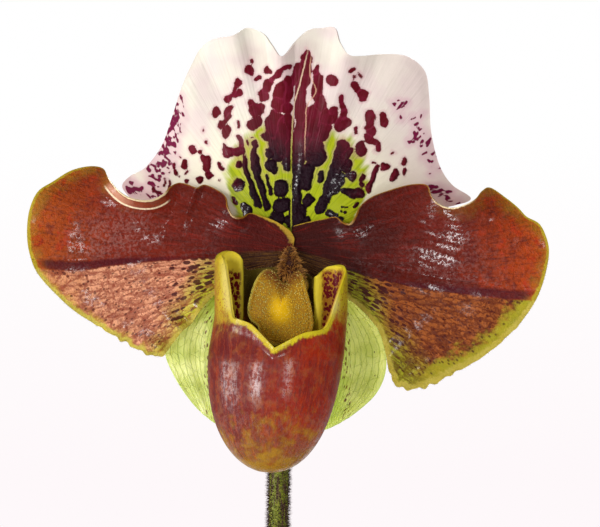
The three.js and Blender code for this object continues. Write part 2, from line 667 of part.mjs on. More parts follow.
// Column with the stigma under it, between the two anthers
function columnSolid() {
  const path = [
    [0.6, -2.5, COLUMN_FOOT], [0.6, -2.5, 4], [0.6, -4.8, 7], [0.6, -10.4, 11.8],
  ];
  const points = path.map(([right, up, forward]) => inFlower(right, up, forward));
  const body = loftGeometry(stemRings(points, 5, 12, (share) => lerp(2.5, 3.1, share)));
  const shield = staminodeSurface();
  const wider = (u, v) => shield(u, 1.07 * v);
  const seat = sheetGeometry(wider, 24, 4, () => STAMINODE_THICKNESS + 2 * GAP, true);
  const stalk = [[0.6, -5.5, 7.4], [0.6, -9, 7.6], [0.6, -13.4, 8.2]];
  const swell = profile([[0, 1.2], [0.6, 1.2], [0.8, 2.9], [1, 2.6]]);
  const down = stalk.map(([right, up, forward]) => inFlower(right, up, forward));
  const stigma = loftGeometry(stemRings(down, 6, 10, swell));
  return largestBody(toSolid(body).subtract(toSolid(seat)).add(toSolid(stigma)));
}

function antherGeometry(side) {
  const anther = new THREE.SphereGeometry(1, 10, 7).scale(1.1, 1.7, 1.1);
  const centre = inFlower(0.6 + side * 3.2, -10.5, 7.3);
  return anther.rotateX(-0.5).translate(centre.x, centre.y, centre.z);
}

// Colours, as the finishes of the real pieces
const CLAY = 0xb5673f;
const BARK = 0x5b3a26;
const ROOT = 0x8a6b4c;
const LEAF = 0x3f6a30;
const STEM = 0x55523a;
const OVARY = 0x6b7a3d;
const SEPAL = 0xefe3e0;
const PALE_GREEN = 0xc3d17c;
const PETAL = 0x8f3a22;
const POUCH = 0x9a3f26;
const GOLD = 0xc9a228;
const COLUMN = 0x7a4524;

addPiece("pot", potGeometry(), CLAY, 0.9);
addPiece("potting_bark", toGeometry(barkSolid()), BARK, 0.95);
addPiece("crown", toGeometry(crownSolid(0)), ROOT, 0.8);

const fanLeaves = [
  { length: 150, peel: 34, lean: 62 },
  { length: 172, peel: 29, lean: 84 },
  { length: 188, peel: 24, lean: 98 },
  { length: 192, peel: 19, lean: 112 },
  { length: 180, peel: 14, lean: 128 },
  { length: 164, peel: 9, lean: 140 },
];
fanLeaves.forEach(({ length, peel, lean }, i) => {
  const surface = leafSurface({
    centre: new THREE.Vector3(0, 0, CROWN_TOP + GAP),
    turn: FAN_TURN,
    side: i % 2 ? -1 : 1,
    sheath: SHEATH_RADIUS + SHEATH_STEP * i,
    peel,
    length,
    halfWidth: LEAF_HALF_WIDTH,
    lean: degToRad(lean),
  });
  const thickness = (u) => LEAF_THICKNESS * (1 - 0.25 * (2 * u - 1) ** 2);
  addPiece(`leaf_${fanLeaves.length - i}`, sheetGeometry(surface, 6, 13, thickness), LEAF, 0.45);
});

const youngLeaves = [
  { length: 76, peel: 24, lean: 30 },
  { length: 104, peel: 17, lean: 62 },
  { length: 96, peel: 11, lean: 82 },
  { length: 62, peel: 7, lean: 92 },
];
youngLeaves.forEach(({ length, peel, lean }, i) => {
  const surface = leafSurface({
    centre: YOUNG_CROWN.clone().setZ(CROWN_TOP + GAP),
    turn: FAN_TURN - 0.35,
    side: i % 2 ? -1 : 1,
    sheath: 1.6 + 1.6 * i,
    peel,
    length,
    halfWidth: 9.5,
    lean: degToRad(lean),
  });
  const name = `young_leaf_${youngLeaves.length - i}`;
  addPiece(name, sheetGeometry(surface, 6, 9, () => 0.7), LEAF, 0.45);
});

addPiece("scape", tubeGeometry(toPoints(scapeLine), SCAPE_RADIUS, 10, 12), STEM, 0.6);
addPiece("ovary", ovaryGeometry(), OVARY, 0.6);
addPiece("bract", sheetGeometry(bractSurface(), 6, 7, () => 0.7), OVARY, 0.6);

const tepalThickness = () => TEPAL_THICKNESS;
const dorsal = fanSurface({
  base: [[-5, 0.7], [6, 0.7]],
  margin: dorsalMargin,
  depth: dorsalDepth,
  waveReach: 4,
});
addPiece("dorsal_sepal", sheetGeometry(dorsal, 56, 6, tepalThickness), SEPAL, 0.4);

const addStretched = (name, form, colour, roughness) => {
  const geometry = sheetGeometry(stretchedSurface(form), form.across, form.along, tepalThickness);
  addPiece(name, geometry, colour, roughness);
};
addStretched("synsepal", {
  foot: [[4.5, -0.9], [-4.5, -0.9]],
  margin: synsepalMargin,
  corners: [[21.9, -22.4], [-28.3, -27]],
  depth: synsepalDepth,
  across: 10,
  along: 14,
}, PALE_GREEN, 0.4);
addStretched("petal_left", {
  foot: [[-0.4, -6.8], [1.3, -1.6]],
  margin: [...leftPetalMargin].reverse(),
  corners: [[-30, -26.8], [-43.4, 17]],
  depth: petalDepth(LEFT_PETAL_FOOT, LEFT_VEIN_DROP),
  across: 11,
  along: 34,
}, PETAL, 0.3);
addStretched("petal_right", {
  foot: [[1.4, -6.8], [0.9, 1.6]],
  margin: [...rightPetalMargin].reverse(),
  corners: [[29.5, -34.6], [46.2, 12.1]],
  depth: petalDepth(RIGHT_PETAL_FOOT, RIGHT_VEIN_DROP),
  across: 11,
  along: 34,
}, PETAL, 0.3);

addPiece("pouch", sheetGeometry(pouchSurface, 52, 11, () => POUCH_WALL, true), POUCH, 0.25);
const shield = sheetGeometry(staminodeSurface(), 24, 4, () => STAMINODE_THICKNESS, true);
addPiece("staminode", shield, GOLD, 0.5);
addPiece("column", toGeometry(columnSolid()), COLUMN, 0.7);
addPiece("anther_left", antherGeometry(-1), GOLD, 0.6);
addPiece("anther_right", antherGeometry(1), GOLD, 0.6);

export default plant;
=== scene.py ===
# %% [markdown]
# # A potted slipper orchid
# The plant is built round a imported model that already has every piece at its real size. This
# script keeps those places and gives each piece its fine surface: waved petals with veins and
# spots, a glossy pouch, a granular shield, hairs, leaves, bark and a clay pot.

# %% Load the frame
import math

import bpy
import numpy as np
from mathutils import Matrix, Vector
from mathutils.noise import noise_vector, seed_set


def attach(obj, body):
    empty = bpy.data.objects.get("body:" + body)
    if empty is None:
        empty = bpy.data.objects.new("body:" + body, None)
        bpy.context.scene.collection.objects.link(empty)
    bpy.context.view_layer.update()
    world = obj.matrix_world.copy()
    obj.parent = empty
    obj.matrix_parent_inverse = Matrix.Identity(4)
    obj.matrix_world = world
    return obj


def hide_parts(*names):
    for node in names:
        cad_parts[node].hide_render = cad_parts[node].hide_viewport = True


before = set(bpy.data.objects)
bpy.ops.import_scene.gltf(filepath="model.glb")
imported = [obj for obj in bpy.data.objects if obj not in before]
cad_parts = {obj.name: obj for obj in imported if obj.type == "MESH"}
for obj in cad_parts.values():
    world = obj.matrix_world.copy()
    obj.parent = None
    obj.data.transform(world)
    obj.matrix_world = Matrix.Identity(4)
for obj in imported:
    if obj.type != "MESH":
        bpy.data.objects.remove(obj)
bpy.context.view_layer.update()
MM = 0.001
print("pieces to dress:", len(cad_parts))

# %% [markdown]
# ## Places in the flower
# A flower is easiest to think of from its front, in millimetres to the right, up and forward of
# the point where its whorls meet. One small function turns such places into the frame's metres.
# numpy does it for all the points of a piece at once, which is far quicker than a loop.

# %% The flower's own directions
FLOWER = (2.0, -29.0, 350.0)


def in_flower(right, up, forward):
    """Places in metres from millimetres right, up and forward of the flower's centre."""
    spots = np.broadcast_arrays(FLOWER[0] + right, FLOWER[1] - forward, FLOWER[2] + up)
    return np.stack(spots, axis=-1) * MM


def smooth(value, low, high):
    """0 below low, 1 above high, and an easy curve between them."""
    share = np.clip((value - low) / (high - low), 0, 1)
    return share * share * (3 - 2 * share)


def between(a, b, share):
    return a + (b - a) * share


# %% [markdown]
# ## Smooth lines
# Petal edges and stems are drawn as a few listed points, with a smooth curve through them.
# Blender's own curves would do, but a formula can be read at any share of its length, so that a
# grid can be stretched onto it. The centripetal kind of curve never loops between close points.

# %% A smooth line through points
def read_line(line):
    """A function that gives the places on a line of points at shares 0 to 1 of its length."""
    run = np.concatenate([[0], np.cumsum(np.linalg.norm(np.diff(line, axis=0), axis=1))])

    def read(share):
        place = np.asarray(share) * run[-1]
        return np.stack([np.interp(place, run, line[:, axis]) for axis in range(3)], axis=-1)

    return read


def smooth_line(points, closed=False):
    """A smooth curve through points, to be read as read_line reads its line."""
    rows = np.array([(*point, 0)[:3] for point in points], float)
    count = len(rows)
    steps = 40
    t = np.linspace(0, 1, steps, endpoint=False)[:, None]
    pieces = []
    for k in range(count if closed else count - 1):
        here, after = rows[k], rows[(k + 1) % count]
        before = rows[k - 1] if closed or k else 2 * here - after
        last = k + 2 < count or closed
        beyond = rows[(k + 2) % count] if last else 2 * after - here
        a, b, c = [np.linalg.norm(q - p) ** 0.5 for p, q in
                   ((before, here), (here, after), (after, beyond))]
        leave = ((here - before) / a - (after - before) / (a + b) + (after - here) / b) * b
        arrive = ((after - here) / b - (beyond - here) / (b + c) + (beyond - after) / c) * b
        square = 3 * (after - here) - 2 * leave - arrive
        cube = 2 * (here - after) + leave + arrive
        pieces.append(here + leave * t + square * t ** 2 + cube * t ** 3)
    return read_line(np.concatenate(pieces + [rows[:1] if closed else rows[-1:]]))


def profile(pairs):
    """A function that runs smoothly through (place, value) pairs."""
    places, values = np.array(pairs, float).T

    def read(place):
        k = np.clip(np.searchsorted(places, place) - 1, 0, len(places) - 2)
        share = smooth(place, places[k], places[k + 1])
        return between(values[k], values[k + 1], share)

    return read


# %% [markdown]
# ## Starting shapes
# Every thin piece starts as a flat grid, and every cupped piece as the lower half of a ball. Each
# vertex knows how far across (u) and along (v) the starting shape it lies, and is then moved to
# its place on the real form. Box modelling with subdivision would also work, but it is hard to
# give two waved petals the same veins that way. A wall is added afterwards with Solidify, which
# is thinner near the edge, as a petal is.

# %% Select, name and apply
def deselect():
    bpy.ops.object.select_all(action="DESELECT")


def select_only(piece):
    """Operators act on what is selected, so a piece is selected alone before them."""
    deselect()
    piece.select_set(True)
    bpy.context.view_layer.objects.active = piece


def name_new(name):
    """Names the piece that an operator has just added."""
    piece = bpy.context.object
    piece.name = piece.data.name = name
    return piece


def apply_modifier(piece, kind, **settings):
    modifier = piece.modifiers.new(kind.lower(), kind)
    for name, value in settings.items():
        setattr(modifier, name, value)
    select_only(piece)
    bpy.ops.object.modifier_apply(modifier=modifier.name)


def read_places(piece):
    places = np.empty(len(piece.data.vertices) * 3)
    piece.data.vertices.foreach_get("co", places)
    return places.reshape(-1, 3)


def write_places(piece, places):
    piece.data.vertices.foreach_set("co", np.asarray(places, float).ravel())
    piece.data.update()


# %% Grids and bowls
def add_grid(name, columns, rows):
    """A grid whose vertices know their u and v from 0 to 1."""
    deselect()
    bpy.ops.mesh.primitive_grid_add(x_subdivisions=columns, y_subdivisions=rows, size=1)
    piece = name_new(name)
    places = read_places(piece)
    return piece, places[:, 0] + 0.5, places[:, 1] + 0.5


def add_bowl(name, columns, rows):
    """The lower half of a ball: u goes round it, and v from its lowest point to its rim."""
    deselect()
    bpy.ops.mesh.primitive_uv_sphere_add(segments=columns, ring_count=2 * rows, radius=1)
    piece = name_new(name)
    bpy.ops.object.mode_set(mode="EDIT")
    bpy.ops.mesh.select_all(action="DESELECT")
    bpy.ops.object.mode_set(mode="OBJECT")
    for vertex in piece.data.vertices:
        vertex.select = vertex.co.z > 1e-4
    bpy.ops.object.mode_set(mode="EDIT")
    bpy.ops.mesh.delete(type="VERT")
    bpy.ops.object.mode_set(mode="OBJECT")
    x, y, z = read_places(piece).T
    u = (np.arctan2(y, x) / (2 * np.pi)) % 1
    v = np.arccos(np.clip(-z, -1, 1)) / (np.pi / 2)
    return piece, u, v


# %% Walls and painted values
def thicken(piece, thickness, share):
    """Gives a sheet a wall, thickness in millimetres, times each vertex's share."""
    group = piece.vertex_groups.new(name="wall")
    levels = np.round(share, 2)
    for level in np.unique(levels):
        group.add(np.nonzero(levels == level)[0].tolist(), float(level), "REPLACE")
    apply_modifier(
        piece, "SOLIDIFY", thickness=thickness * MM, offset=0, vertex_group=group.name)
    piece.vertex_groups.clear()


def paint(piece, **values):
    """Stores a number per vertex, for materials to read. A wall's two faces get the same."""
    count = len(piece.data.vertices)
    for name, numbers in values.items():
        layer = piece.data.attributes.new(name, "FLOAT", "POINT")
        layer.data.foreach_set("value", np.resize(np.asarray(numbers, float), count))


def paint_back(piece, facing):
    """Marks the side of a wall that mostly lies away from a direction."""
    places = read_places(piece)
    half = len(places) // 2
    first = np.median((places[:half] - places[half:]) @ np.array(facing))
    paint(piece, back=np.repeat([first < 0, first >= 0], half).astype(float))


def nearest(places, line, size=4000):
    """The distance from each place to the closest point of a line of points."""
    found = [np.sqrt(((places[k:k + size, None] - line[None]) ** 2).sum(-1).min(1))
             for k in range(0, len(places), size)]
    return np.concatenate(found)


# %% [markdown]
# ## Writing materials
# A material is a stack of coats: each is a colour, and a mask of noise and stored numbers that
# says where it covers the coats below. Nodes say that clumsily, so one small class wraps a number
# or colour on its way and lets Python's own operators add the Math nodes. A second class adds any
# other node, and a third holds a material. Heights in a material are the plant's millimetres.

# %% Numbers on their way
class Shade:
    """A value on its way through the nodes."""

    def __init__(self, nodes, socket):
        self.nodes = nodes
        self.socket = socket

    def __add__(self, other):
        return self.nodes.maths("ADD", self, other)

    def __sub__(self, other):
        return self.nodes.maths("SUBTRACT", self, other)

    def __rsub__(self, other):
        return self.nodes.maths("SUBTRACT", other, self)

    def __mul__(self, other):
        return self.nodes.maths("MULTIPLY", self, other)

    __radd__ = __add__
    __rmul__ = __mul__

    def __abs__(self):
        return self.nodes.maths("ABSOLUTE", self)

    def coat(self, share, colour):
        """This colour with another painted over it, where share is 1."""
        return self.nodes.mix(share, self, colour)


def ink(code):
    """A colour as the shader wants it, from its six-figure code."""
    values = [int(code[k:k + 2], 16) / 255 for k in (0, 2, 4)]
    return (*[v / 12.92 if v < 0.04 else ((v + 0.055) / 1.055) ** 2.4 for v in values], 1)


# %% Nodes
class Nodes:
    """The nodes of a material or of the sky."""

    def __init__(self, tree):
        self.tree = tree

    def feed(self, socket, value):
        """Links a Shade to a socket, or sets the socket to a value or a colour's code."""
        if isinstance(value, Shade):
            self.tree.links.new(value.socket, socket)
        else:
            socket.default_value = ink(value) if isinstance(value, str) else value

    def node(self, kind, settings=(), sockets=(), output=0):
        node = self.tree.nodes.new(kind)
        for name, value in dict(settings).items():
            setattr(node, name, value)
        for name, value in dict(sockets).items():
            self.feed(node.inputs[name], value)
        return Shade(self, node.outputs[output])

    def maths(self, operation, *terms):
        return self.node("ShaderNodeMath", {"operation": operation}, dict(enumerate(terms)))

    def parts(self, vector):
        """A vector's three numbers."""
        split = self.tree.nodes.new("ShaderNodeSeparateXYZ")
        self.feed(split.inputs[0], vector)
        return [Shade(self, socket) for socket in split.outputs]

    def mix(self, share, first, second):
        return self.node("ShaderNodeMix", {"data_type": "RGBA"},
                         {0: share, 6: first, 7: second}, output=2)


print("a mid grey in the shader's own numbers:", round(ink("808080")[0], 3))


# %% A material
class Finish(Nodes):
    """One material: its nodes, and its Principled shader's sockets."""

    def __init__(self, name, **sockets):
        self.material = bpy.data.materials.new(name)
        self.material.use_nodes = True
        super().__init__(self.material.node_tree)
        self.shader = self.tree.nodes["Principled BSDF"]
        self.finish(**sockets)

    def place(self):
        """Where on the plant a point lies, in millimetres."""
        place = self.node("ShaderNodeTexCoord", output="Object")
        return self.node("ShaderNodeVectorMath", {"operation": "SCALE"},
                         {0: place, "Scale": 1 / MM})

    def sheet(self):
        """Where on its starting grid a point lies."""
        return self.parts(self.node("ShaderNodeTexCoord", output="UV"))

    def values(self, *names):
        """The numbers stored on the piece's points under these names."""
        return [self.node("ShaderNodeAttribute", {"attribute_name": name}, output="Fac")
                for name in names]

    def vector(self, x, y, z=0.0):
        return self.node("ShaderNodeCombineXYZ", (), {0: x, 1: y, 2: z})

    def step(self, value, low, high):
        """0 at low, 1 at high, and an easy curve between them. low may be the larger one."""
        return self.node("ShaderNodeMapRange", {"interpolation_type": "SMOOTHSTEP"},
                         {0: value, 1: low, 2: high})

    def noise(self, vector, scale, detail=2.0, roughness=0.5, distortion=0.0):
        return self.node("ShaderNodeTexNoise", (), {
            "Vector": vector, "Scale": scale, "Detail": detail, "Roughness": roughness,
            "Distortion": distortion})

    def cells(self, vector, scale, feature="F1", randomness=1.0):
        return self.node("ShaderNodeTexVoronoi", {"feature": feature}, {
            "Vector": vector, "Scale": scale, "Randomness": randomness}, output="Distance")

    def bump(self, height, depth):
        """Raises the surface by up to depth millimetres where height is 1."""
        self.finish(Normal=self.node("ShaderNodeBump", (), {
            "Strength": 1.0, "Distance": depth * MM, "Height": height}))

    def finish(self, **sockets):
        """Feeds the shader's sockets, and gives the material."""
        for socket, value in sockets.items():
            self.feed(self.shader.inputs[socket.replace("_", " ")], value)
        return self.material


# %% [markdown]
# ## Settling a piece
# Each piece gets its material, smooth shading with crisp edges kept, and its place in the frame:
# what it rides on and the plain solid it stands for.

# %% Settle a piece
def settle(piece, material, slot, *nodes, sharp=50):
    if nodes:
        piece.name = piece.data.name = f"{nodes[0]}_fine"
    piece.data.materials.clear()
    piece.data.materials.append(material)
    select_only(piece)
    bpy.ops.object.shade_smooth_by_angle(angle=math.radians(sharp))
    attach(piece, "root")
    if nodes:
        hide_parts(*nodes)
    piece.data.calc_loop_triangles()
    print(piece.name, "has", len(piece.data.loop_triangles), "triangles and", material.name)


# %% [markdown]
# ## Camera, light and floor
# The flower is seen straight from the front, from nearly a metre away, so that it hardly narrows
# with depth. Three softboxes stand in front: a key light left of the camera, a broad one far to
# the left and a tall narrow one on the right. Their shapes are what the glossy pouch mirrors. A
# large one behind lights the sepals' backs and shines through the synsepal. The sky is white
# where the camera sees it and grey where the plant reflects it, which keeps the dark petals dark.

# %% Camera
VIEW_CENTRE = Vector((4.85, -29.0, 344.57)) * MM
VIEW_DISTANCE = 0.95
VIEW_WIDTH = 138.7 * MM
SENSOR_WIDTH = 36.0


def add_camera():
    deselect()
    place = VIEW_CENTRE - Vector((0, VIEW_DISTANCE, 0))
    bpy.ops.object.camera_add(location=place, rotation=(math.pi / 2, 0, 0))
    camera = bpy.context.object
    camera.data.sensor_width = SENSOR_WIDTH
    camera.data.lens = SENSOR_WIDTH * VIEW_DISTANCE / VIEW_WIDTH
    camera.data.clip_start = 0.01
    bpy.context.scene.camera = camera
    print("lens:", round(camera.data.lens, 1), "mm")


add_camera()
bpy.context.scene.view_settings.view_transform = "Standard"


# %% Lights, sky and floor
def add_softbox(name, place, power, size):
    deselect()
    bpy.ops.object.light_add(type="AREA", location=place)
    light = bpy.context.object
    light.name = name
    light.data.energy = power
    light.data.shape = "RECTANGLE"
    light.data.size, light.data.size_y = size
    light.rotation_euler = (VIEW_CENTRE - Vector(place)).to_track_quat("-Z", "Y").to_euler()


add_softbox("key_light", (-0.42, -1.05, 0.39), 5.0, (0.22, 0.30))
add_softbox("side_light", (-1.05, -0.42, 0.34), 7.4, (0.70, 0.42))
add_softbox("fill_light", (0.36, -1.08, 0.42), 1.8, (0.09, 0.40))
add_softbox("back_light", (0.15, 0.80, 0.70), 9.0, (0.8, 0.6))

SKY_SEEN = "ffffff"
SKY_SEEN_LOW = "fef8fa"
SKY_LIGHT = (0.30, 0.30, 0.30, 1)


def add_sky():
    world = bpy.data.worlds.new("studio")
    bpy.context.scene.world = world
    world.use_nodes = True
    sky = Nodes(world.node_tree)
    height = sky.parts(sky.node("ShaderNodeTexCoord", output="Generated"))[2]
    above_floor = sky.node("ShaderNodeMapRange", (), {0: height, 1: -0.05, 2: 0.03})
    seen = sky.mix(above_floor, SKY_SEEN_LOW, SKY_SEEN)
    by_camera = sky.node("ShaderNodeLightPath", output="Is Camera Ray")
    background = world.node_tree.nodes["Background"]
    sky.feed(background.inputs["Color"], sky.mix(by_camera, SKY_LIGHT, seen))


def add_floor():
    deselect()
    bpy.ops.mesh.primitive_circle_add(vertices=96, radius=1.6, fill_type="NGON")
    floor = bpy.context.object
    floor.name = "floor"
    paper = Finish("floor_paper", Roughness=0.9)
    floor.data.materials.append(paper.finish(Base_Color="f4f0f0"))


add_sky()
add_floor()
print("lights:", len(bpy.data.lights))

# %% [markdown]
# ## The dorsal sepal's fan
# A sepal's veins leave its narrow foot and run to its edge. The upright sepal is a fan of such
# rays: u picks a place on the edge, and v goes out to it. The edge is drawn point by point, with
# a third number for how far it waves forward. A wall thinner at the edge is added at the end.

# %% Fans
TEPAL_THICKNESS = 0.8


def fan_surface(base, margin, depth, wave_reach):
    edge = smooth_line(margin)
    (x0, y0), (x1, y1) = base

    def surface(u, v):
        end = edge(u)
        reach = 1 - (1 - v) ** 1.25
        right = between(between(x0, x1, u), end[:, 0], reach)
        up = between(between(y0, y1, u), end[:, 1], reach)
        return right, up, depth(right, up) + end[:, 2] * reach ** wave_reach

    return surface, edge


def make_tepal(name, columns, rows, surface, edge, wrinkle):
    """A petal or sepal with a wall, and what its material needs to know about each point."""
    piece, u, v = add_grid(name, columns, rows)
    right, up, forward = surface(u, v)
    forward = forward + wrinkle(right, up, u, v)
    write_places(piece, in_flower(right, up, forward))
    line = edge(np.linspace(0, 1, 1200))[:, :2]
    from_edge = nearest(np.stack([right, up], axis=-1), line)
    thin = between(0.45, 1.0, smooth(from_edge, 0.0, 2.5))
    thicken(piece, TEPAL_THICKNESS, thin)
    paint_back(piece, (0, -1, 0))
    return piece, right, up, from_edge


# %% [markdown]
# ## Stretched grids
# A fan doesn't suit the petals, because their edges turn back on themselves in deep notches and
# the rays would cross there. Their grid runs along the petal instead: v goes from the foot to the
# far end, and u across it, from the lower edge to the upper one. The inner points are first
# spread evenly between the edges. Then each is moved again and again towards the middle of its
# neighbours, weighted so that no lines cross: this is how grids are made round aircraft wings.

# %% Stretched grids
RELAX_ROUNDS = 300
RELAX_SHARE = 0.9


def relax(grid):
    """Moves inner points again and again towards the middle of their neighbours."""
    for _ in range(RELAX_ROUNDS):
        before, after = grid[:-2, 1:-1], grid[2:, 1:-1]
        low, high = grid[1:-1, :-2], grid[1:-1, 2:]
        across, along = (after - before) / 2, (high - low) / 2
        width = (across ** 2).sum(-1, keepdims=True)
        length = (along ** 2).sum(-1, keepdims=True)
        slant = (across * along).sum(-1, keepdims=True)
        twist = (grid[2:, 2:] - grid[:-2, 2:] - grid[2:, :-2] + grid[:-2, :-2]) / 4
        goal = length * (before + after) + width * (low + high) - 2 * slant * twist
        grid[1:-1, 1:-1] += RELAX_SHARE * (goal / (2 * (width + length)) - grid[1:-1, 1:-1])


def stretch_grid(sides, across, along, start=None):
    """Places across and along a piece between its four edge lines, relaxed."""
    low, high, foot, far = sides
    u, v = np.linspace(0, 1, across + 1), np.linspace(0, 1, along + 1)
    share_u, share_v = u[:, None, None], v[None, :, None]
    bottom, top = low(v)[None, :, :2], high(v)[None, :, :2]
    first, last = foot(u)[:, None, :2], far(u)[:, None, :2]
    corners = between(between(bottom[:, :1], top[:, :1], share_u),
                      between(bottom[:, -1:], top[:, -1:], share_u), share_v)
    grid = between(bottom, top, share_u) + between(first, last, share_v) - corners
    if start is not None:
        finer = np.zeros_like(grid)
        finer[::2, ::2] = start
        finer[1::2, ::2] = (start[1:] + start[:-1]) / 2
        finer[:, 1::2] = (finer[:, 2::2] + finer[:, :-2:2]) / 2
        grid[1:-1, 1:-1] = finer[1:-1, 1:-1]
    relax(grid)
    return grid


def frill(line, height):
    """Draws small uneven waves of this height into the lowest part of a margin."""
    t = np.linspace(0, 1, len(line))
    waves = np.sin(2 * np.pi * 37 * t + 3 * np.sin(23 * t)) + 0.6 * np.sin(2 * np.pi * 71 * t)
    waves *= height * smooth(line[:, 1], -16, -24) * (1 + 0.8 * np.sin(31 * t))
    ahead = np.gradient(line[:, :2], axis=0)
    ahead /= np.linalg.norm(ahead, axis=1)[:, None]
    line[:, 0] += ahead[:, 1] * waves
    line[:, 1] -= ahead[:, 0] * waves
    return line


def stretched_surface(foot, margin, corners, depth, across, along, wave=0.0):
    """Like fan_surface, for a grid of the stated size. Its corners are points of the margin."""
    line = frill(smooth_line(margin)(np.linspace(0, 1, 2001)), wave)
    edge = read_line(line)
    low_end, high_end = [np.hypot(*(line[:, :2] - corner).T).argmin() for corner in corners]
    ends = np.array([(*corner, 0.0) for corner in foot])
    low = read_line(np.concatenate([ends[:1], line[:low_end + 1]]))
    high = read_line(np.concatenate([ends[1:], line[high_end:][::-1]]))
    sides = (low, high, read_line(ends), read_line(line[low_end:high_end + 1]))
    grid = None
    for finer in (4, 2, 1):
        grid = stretch_grid(sides, across // finer, along // finer, grid)

    def surface(u, v):
        spots = grid[np.round(u * across).astype(int), np.round(v * along).astype(int)]
        right, up = spots.T
        low_wave, high_wave, far_wave = low(v)[:, 2], high(v)[:, 2], sides[3](u)[:, 2]
        lift = low_wave * (1 - u) ** 5 + high_wave * u ** 5
        lift += far_wave * v ** 8 * (1 - u ** 5 - (1 - u) ** 5)
        return right, up, depth(right, up) + lift

    return surface, edge


# %% [markdown]
# ## The petals
# Both petals are glossy red-brown above a dark midvein and paler below it, where rows of dots
# follow the veins and the foot is yellow-green. They could be sculpted, but a margin drawn point
# by point follows the real one more closely, with a third number for how far it waves forward.

# %% Petal forms
LEFT_PETAL_FOOT = 1.3
RIGHT_PETAL_FOOT = 0.0
LEFT_VEIN_DROP = 0.03
RIGHT_VEIN_DROP = 0.16

LEFT_PETAL_MARGIN = [
    (1.6, 0.3, 0), (0.8, 1.8, 0.2), (-0.9, 3.2, 0.4), (-3.2, 4.5, 0.2), (-6, 5.5, 0),
    (-8.8, 6.2, 0.2), (-10.6, 5.2, 1.4), (-12.4, 5.4, 2.2), (-13.7, 7.4, 1.8), (-14.3, 10, 0.6),
    (-16.6, 11.7, -0.6), (-19.4, 12.8, -0.8), (-21, 12.1, 0.5), (-23, 12.8, 0),
    (-25.2, 13.2, -0.4), (-27, 12.4, 0.8), (-28.6, 10.5, 2.8), (-31, 9.2, 3.8), (-34, 9.1, 4.2),
    (-37, 10.0, 4.2), (-39.3, 11.8, 3.6), (-41.2, 14.2, 2.2), (-42.6, 16.4, 0), (-45, 17.0, -0.6),
    (-49.7, 16.1, -0.6), (-54.3, 13.3, 0), (-57.4, 11.2, 0.6), (-59.2, 7.5, 0.2),
    (-59.9, 2.8, -0.5), (-59.4, -2.6, 0.2), (-57.6, -7.4, 0.6), (-53.4, -12.4, -0.5),
    (-49.5, -16, 0.4), (-44.4, -19.4, -0.5), (-40.7, -21.7, 0.5), (-37.2, -23.8, -0.5),
    (-33.4, -25.9, 0.8), (-30.6, -26.8, -0.6), (-28.4, -26.4, 1), (-26.6, -23.8, -0.5),
    (-24.6, -21.4, 1), (-22.2, -19.2, -0.5), (-20.2, -16.4, 0.7), (-17.4, -13.2, 0),
    (-12, -9.8, 0), (-6, -7.8, 0),
]
RIGHT_PETAL_MARGIN = [
    (1.4, 3.3, 0), (4.5, 4.1, 0), (8, 4.8, 0), (11.2, 5.3, 0.4), (12.8, 4.1, 1.4),
    (14.4, 3.7, 2), (15.6, 5.3, 1.5), (16.6, 7.6, 0.5), (19, 9.7, -0.5), (23.8, 11.6, -0.8),
    (29.1, 12.9, -0.8), (32.4, 12.6, 0.2), (33.2, 10.4, 1.4), (34.6, 8.5, 2.2), (37.4, 7.4, 2.6),
    (40.5, 8.0, 2.6), (43.2, 9.4, 1.8), (44.8, 11.2, 0.6), (46.6, 12.1, -0.5), (50.4, 9.7, 0),
    (53.4, 7.2, 0.6), (55.2, 5.3, 0), (58.0, 3.7, 0.4), (59.6, 0.6, 0), (60.2, -2.4, -0.4),
    (59.6, -6.6, 0), (57.8, -12.4, 0.5), (54.8, -17.6, -0.4), (51.3, -21.6, 0.5),
    (47.6, -25.0, -0.5), (43.5, -28, 0.4), (38.2, -30.9, -0.5), (33.3, -33.6, 0.7),
    (28.7, -34.6, -0.6), (25.4, -33.8, 0.7), (23.8, -31.2, -0.6), (23, -28, 0.7),
    (22.2, -24, -0.5), (20.4, -20, 0.6), (16, -15.2, 0), (9.6, -10.6, 0), (5, -8.4, 0),
]


print("margin points:", len(LEFT_PETAL_MARGIN), "left,", len(RIGHT_PETAL_MARGIN), "right")


def petal_vein(right, drop):
    """How high a petal's midvein runs, which falls a little outwards."""
    return -3 - drop * np.abs(right)


def petal_depth(foot, drop):
    """Petals sweep forward towards their ends and stand highest along their midvein."""
    def depth(right, up):
        above = up - petal_vein(right, drop)
        lean = np.where(above > 0, 0.008, 0.006)
        crease = 0.7 * np.exp(-np.abs(above) / 1.8) * smooth(np.abs(right), 6, 20)
        return foot + 5 * (np.abs(right) / 60) ** 1.6 - lean * above ** 2 - crease

    return depth
